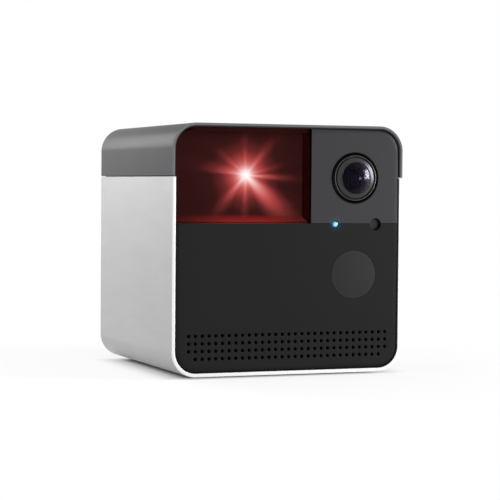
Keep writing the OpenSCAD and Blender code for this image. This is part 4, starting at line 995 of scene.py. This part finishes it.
def star_light(tree, place, centre):
    """Brightness of the laser's star round a centre: exp(-r / reach), where the reach changes with the
    angle and is longest along the rays, and a small core exp(-(r / 2.1 mm)^2). Seen from the front left the
    star crosses from the hood to the chamber's wall without a step: x is taken along lines that lean 0.39
    in x for each 1 in y."""
    lean, core_radius, valley, longest = 0.39, 2.1, 5.0, 12.0
    offset = add(tree, "VectorMath", (place, centre), operation="SUBTRACT")
    x, z = [add(tree, "VectorMath", (offset, axis), "Value", operation="DOT_PRODUCT")
            for axis in ((1 / MM, -lean / MM, 0), (0, 0, 1 / MM))]
    flat = add(tree, "CombineXYZ", {"X": x, "Z": z})
    radius = add(tree, "VectorMath", (flat,), "Value", operation="LENGTH")
    angle = add(tree, "Math", (z, x), operation="ARCTAN2")
    reaches = {0.0: valley, 1.0: valley}
    for degrees, reach, half in RAYS:
        at = ((degrees + 180) % 360) / 360
        reaches.update({at - half / 360: valley, at: reach, at + half / 360: valley})
    ramp = add(tree, "ValToRGB", (add(tree, "MapRange", (angle, -np.pi, np.pi)),), None)
    ramp.color_ramp.interpolation = "EASE"
    stops = sorted((at, reach) for at, reach in reaches.items() if 0 <= at <= 1)
    shares = set_stops(ramp, [(at, (reach / longest,) * 3) for at, reach in stops])
    reach = add(tree, "Math", (shares, longest), operation="MULTIPLY")
    share = add(tree, "Math", (radius, reach), operation="DIVIDE")
    rays = add(tree, "Math", (math.exp(-1), share), operation="POWER")
    square = add(tree, "Math", (radius, radius), operation="MULTIPLY")
    core = add(tree, "Math", (math.exp(-1 / core_radius ** 2), square), operation="POWER")
    return rays, core


def glowing(name, far_depth, near_radius):
    """A dull black surface lit red by the laser: the light is drawn as glow, dim red far away and pink near
    the beam, only in front of a depth and outside a radius from the hood's middle, so that backs and
    insides stay dark."""
    light = settings().light
    low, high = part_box("laser_window")
    beam_x, beam_z = middle("laser_lens")
    beam_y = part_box("laser_hood")[0].y
    hub = (beam_x, beam_y + light.hood_radius, beam_z)
    sill, side, ceiling = low.z + 2.3 * MM, high.x - 0.4 * MM, high.z
    edge, core_share = 0.1 * MM, 0.3
    material, tree, place = new_material(name)
    rays, core = star_light(tree, place, (beam_x, beam_y, beam_z))
    wall = set_stops(add(tree, "ValToRGB", (rays,), None), [(at, linear(code)) for at, code in GLOW])
    # The sill is brightest under the beam, and the side wall is nearly dark
    x = add(tree, "SeparateXYZ", (place,), "X")
    aside = add(tree, "Math", (add(tree, "Math", (x, beam_x), operation="SUBTRACT"),), operation="ABSOLUTE")
    near = add(tree, "MapRange", (aside, 26 * MM, 2 * MM), interpolation_type="SMOOTHSTEP")
    on_sill = along(tree, place, "Z", sill + 0.6 * MM, sill - 1.3 * MM)
    on_side = along(tree, place, "X", side - edge, side - edge / 2)
    dim, bright, dark = [rgba(linear(code)) for code in ("361412", "7E211F", "1A0203")]
    glint = add(tree, "Mix", {0: near, 6: dim, 7: bright}, 2, data_type="RGBA")
    lit = add(tree, "Mix", {0: on_sill, 6: wall, 7: glint}, 2, data_type="RGBA")
    lit = add(tree, "Mix", {0: on_side, 6: lit, 7: dark}, 2, data_type="RGBA")
    total = add(tree, "VectorMath", (lit, dimmed(tree, light.core, core, core_share)), operation="ADD")
    # The light ends beside the chamber, behind the depth and inside the radius, and fades under the ceiling
    away = add(tree, "VectorMath", (place, hub), "Value", operation="DISTANCE")
    masks = [
        along(tree, place, "X", side + 0.9 * MM, side + 0.6 * MM),
        along(tree, place, "Z", ceiling - 3.5 * MM, ceiling - 0.8 * MM, 1.0, 0.55),
        along(tree, place, "Y", far_depth + edge, far_depth - edge),
        add(tree, "MapRange", (away, near_radius - edge, near_radius + edge))]
    grain = add(tree, "TexNoise", {"Vector": place, "Scale": 1 / (0.4 * MM), "Detail": 2.0})
    return finished(material, add(tree, "BsdfPrincipled", {
        "Base Color": rgba(linear("050505")), "Roughness": add(tree, "MapRange", (grain, 0.0, 1.0, 0.5, 0.7)),
        "Specular IOR Level": 0.0, "Emission Color": dimmed(tree, total, *masks), "Emission Strength": 2.0}))


class PETCAMERA_OT_laser(bpy.types.Operator):
    """Finishes the laser's chamber, its hood and its lens"""

    bl_idname = "pet_camera.laser"
    bl_label = "Laser"

    def execute(self, context):
        light, past_wall = settings().light, 0.4 * MM
        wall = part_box("laser_window")[1].y + light.chamber_depth + past_wall
        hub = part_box("laser_hood")[0].y + light.hood_radius
        inside = light.hood_radius - light.hood_wall / 2
        dress(glowing("lit_chamber_abs", wall, 0.0), "front_frame")
        dress(glowing("lit_hood_abs", hub, inside), "laser_hood", "laser_module")
        dress(glowing("lit_laser_glass", hub, 0.0), "laser_lens")
        return {"FINISHED"}


# Everything inside and behind

class PETCAMERA_OT_base(bpy.types.Operator):
    """Builds the threaded tripod insert and finishes the base pad"""

    bl_idname = "pet_camera.base"
    bl_label = "Base"

    def execute(self, context):
        brass = grained("turned_brass", linear("C9A45C"), 0.3, 0.3, Metallic=1.0)
        make_piece("tripod_insert_threaded", threaded_insert(), brass, "tripod_insert", sharp=50)
        dress(grained("moulded_rubber", settings().casing.rubber, 0.5, 0.75, depth=0.03), "base_pad")
        return {"FINISHED"}


def threaded_insert():
    """A flanged bush about a vertical axis with a threaded bore: x = cx + r cos(a), y = cy + r sin(a), and
    in the bore r falls from the thread's outer radius by up to 0.8 mm, as a triangle wave of
    z / pitch - a / (2 pi)."""
    sides, levels, crest, flat, chamfer = 72, 14, 0.8 * MM, 0.08 * MM, 0.2 * MM
    casing = settings().casing
    low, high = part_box("tripod_insert")
    outer, bore, lip = casing.insert_diameter / 2, casing.thread_diameter / 2, (high.x - low.x) / 2
    flange, end, lead_in = high.z - 1.5 * MM, low.z + casing.thread_depth, 0.5 * MM
    turn = np.linspace(0, 2 * np.pi, sides, endpoint=False)
    rise = np.linspace(end, low.z + lead_in + GAP, int(levels * casing.thread_depth / casing.thread_pitch))
    phase = (rise[:, None] / casing.thread_pitch - turn / (2 * np.pi)) % 1
    thread = np.minimum(bore, bore - crest * (1 - np.abs(2 * phase - 1)) + flat)
    start = np.array([(0, end), (bore, end)])
    stop = np.array([
        (bore + GAP, low.z + lead_in), (bore + lead_in, low.z), (outer - chamfer, low.z),
        (outer, low.z + chamfer), (outer, flange), (lip, flange), (lip, high.z), (0, high.z)])
    radius = np.concatenate([start[:, :1] + 0 * turn, thread, stop[:, :1] + 0 * turn])
    height = np.concatenate([start[:, 1], rise, stop[:, 1]])[:, None] + 0 * turn
    middle_x, middle_y = (low.x + high.x) / 2, (low.y + high.y) / 2
    points = np.stack([middle_x + radius * np.cos(turn), middle_y + radius * np.sin(turn), height], -1)
    return points.reshape(-1, 3), quads(len(height), sides).tolist()


def printed_board():
    """Glass-epoxy board under green solder mask: paler lines where copper runs below it, 2.4 by 0.9 mm
    apart, and small gilded pads about 3 mm apart."""
    material, tree, place = new_material("solder_mask")
    apart = add(tree, "SeparateXYZ", (place,), None).outputs
    flat = add(tree, "CombineXYZ", (apart["X"], apart["Z"]))
    copper = add(tree, "TexBrick", {
        "Vector": flat, "Scale": 1.0, "Color1": rgba(linear("114526")), "Color2": rgba(linear("16562F")),
        "Mortar": rgba(linear("2F7A48")), "Mortar Size": 0.09 * MM, "Brick Width": 2.4 * MM,
        "Row Height": 0.9 * MM}, None).outputs
    dots = add(tree, "TexVoronoi", {"Vector": flat, "Scale": 1 / (3 * MM), "Randomness": 0.7}, "Distance",
               voronoi_dimensions="2D")
    pad = add(tree, "MapRange", (dots, 0.12, 0.09))
    colour = add(tree, "Mix", {0: pad, 6: copper["Color"], 7: rgba(linear("A8904E"))}, 2, data_type="RGBA")
    rough = add(tree, "MapRange", (pad, 0.0, 1.0, 0.38, 0.25))
    return finished(material, raised(tree, colour, rough, copper["Fac"], 0.02, Metallic=pad))


class PETCAMERA_OT_works(bpy.types.Operator):
    """Gives every other piece its finish"""

    bl_idname = "pet_camera.works"
    bl_label = "Inner works and back"

    def execute(self, context):
        metal = {"Metallic": 1.0}
        brushed = {"spread": 0.12, "depth": 0.01, "shade": 0.04, "stretch": (0.03, 1, 1), **metal}
        # Name, colour, grain in millimetres, roughness and other settings of a finish, and its nodes
        finishes = (
            ("painted_abs_back", settings().casing.cap, 0.4, 0.42, {"depth": 0.008},
             "rear_cover reset_button"),
            ("black_abs_inside", linear("141415"), 0.3, 0.55, {},
             "chassis laser_bracket pan_yoke laser_cradle speaker_frame"),
            ("turned_brass_bush", linear("C9A45C"), 0.3, 0.3, metal, "pan_bush"),
            ("zinc_plated_steel", linear("B4B5B8"), 0.4, 0.32, metal,
             "base_screws cap_screws front_screws camera_screws speaker_screws board_screws bracket_screws "
             "reset_switch retaining_ring tilt_pins speaker_magnet"),
            ("brushed_steel_can", linear("A9AAAD"), 0.25, 0.3, brushed,
             "shield_can usb_socket pan_motor tilt_motor"),
            ("moulded_epoxy", linear("1A1A1B"), 0.2, 0.5, {},
             "image_sensor light_sensor ribbon_connectors usb_tongue switch_plunger"),
            ("clear_resin", linear("C8CBD2"), 0.5, 0.12, {}, "ir_leds status_led"),
            ("white_acetal", linear("E2DFD4"), 0.4, 0.4, {}, "pan_gear tilt_gear pan_pinion tilt_pinion"),
            ("pressed_paper", linear("2E2E2E"), 0.5, 0.9, {"depth": 0.05}, "speaker_cone"),
        )
        for name, colour, grain, roughness, other, nodes in finishes:
            dress(grained(name, colour, grain, roughness, **other), *nodes.split())
        dress(printed_board(), "camera_board", "ir_board", "indicator_board", "main_board")
        across, upwards = (1, 0, 0), (0, 0, 1)
        dress(banded("ribbon_film", "D9D2BE", "B08B52", 0.8, [across], 0.32, 0.02), "camera_ribbon")
        mesh = banded("acoustic_mesh", "030303", "0B0B0B", 0.6, [across, upwards], 0.85, 0.05)
        dress(mesh, "grille_cloth")
        return {"FINISHED"}


class PETCAMERA_PT_panel(bpy.types.Panel):
    """Lists the steps that build the pet camera"""

    bl_idname = "PETCAMERA_PT_panel"
    bl_label = "Pet Camera"
    bl_space_type = "VIEW_3D"
    bl_region_type = "UI"
    bl_category = "Pet Camera"

    def draw(self, context):
        for step in STEPS:
            self.layout.operator(step.bl_idname)


STEPS = (
    PETCAMERA_OT_stage, PETCAMERA_OT_casing, PETCAMERA_OT_front, PETCAMERA_OT_lens, PETCAMERA_OT_sensors,
    PETCAMERA_OT_laser, PETCAMERA_OT_base, PETCAMERA_OT_works,
)
GROUPS = (CasingSettings, FrontSettings, LensSettings, LightSettings, StageSettings, PetCameraSettings)
CLASSES = GROUPS + STEPS + (PETCAMERA_PT_panel,)


def register():
    for cls in CLASSES:
        bpy.utils.register_class(cls)
    bpy.types.Scene.pet_camera = PointerProperty(type=PetCameraSettings)


def unregister():
    del bpy.types.Scene.pet_camera
    for cls in reversed(CLASSES):
        bpy.utils.unregister_class(cls)


def main():
    """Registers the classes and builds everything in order."""
    register()
    bpy.context.scene.view_settings.view_transform = "Standard"
    bpy.ops.pet_camera.stage()
    bpy.ops.pet_camera.casing()
    bpy.ops.pet_camera.front()
    bpy.ops.pet_camera.lens()
    bpy.ops.pet_camera.sensors()
    bpy.ops.pet_camera.laser()
    bpy.ops.pet_camera.base()
    bpy.ops.pet_camera.works()


if __name__ == "__main__":
    main()
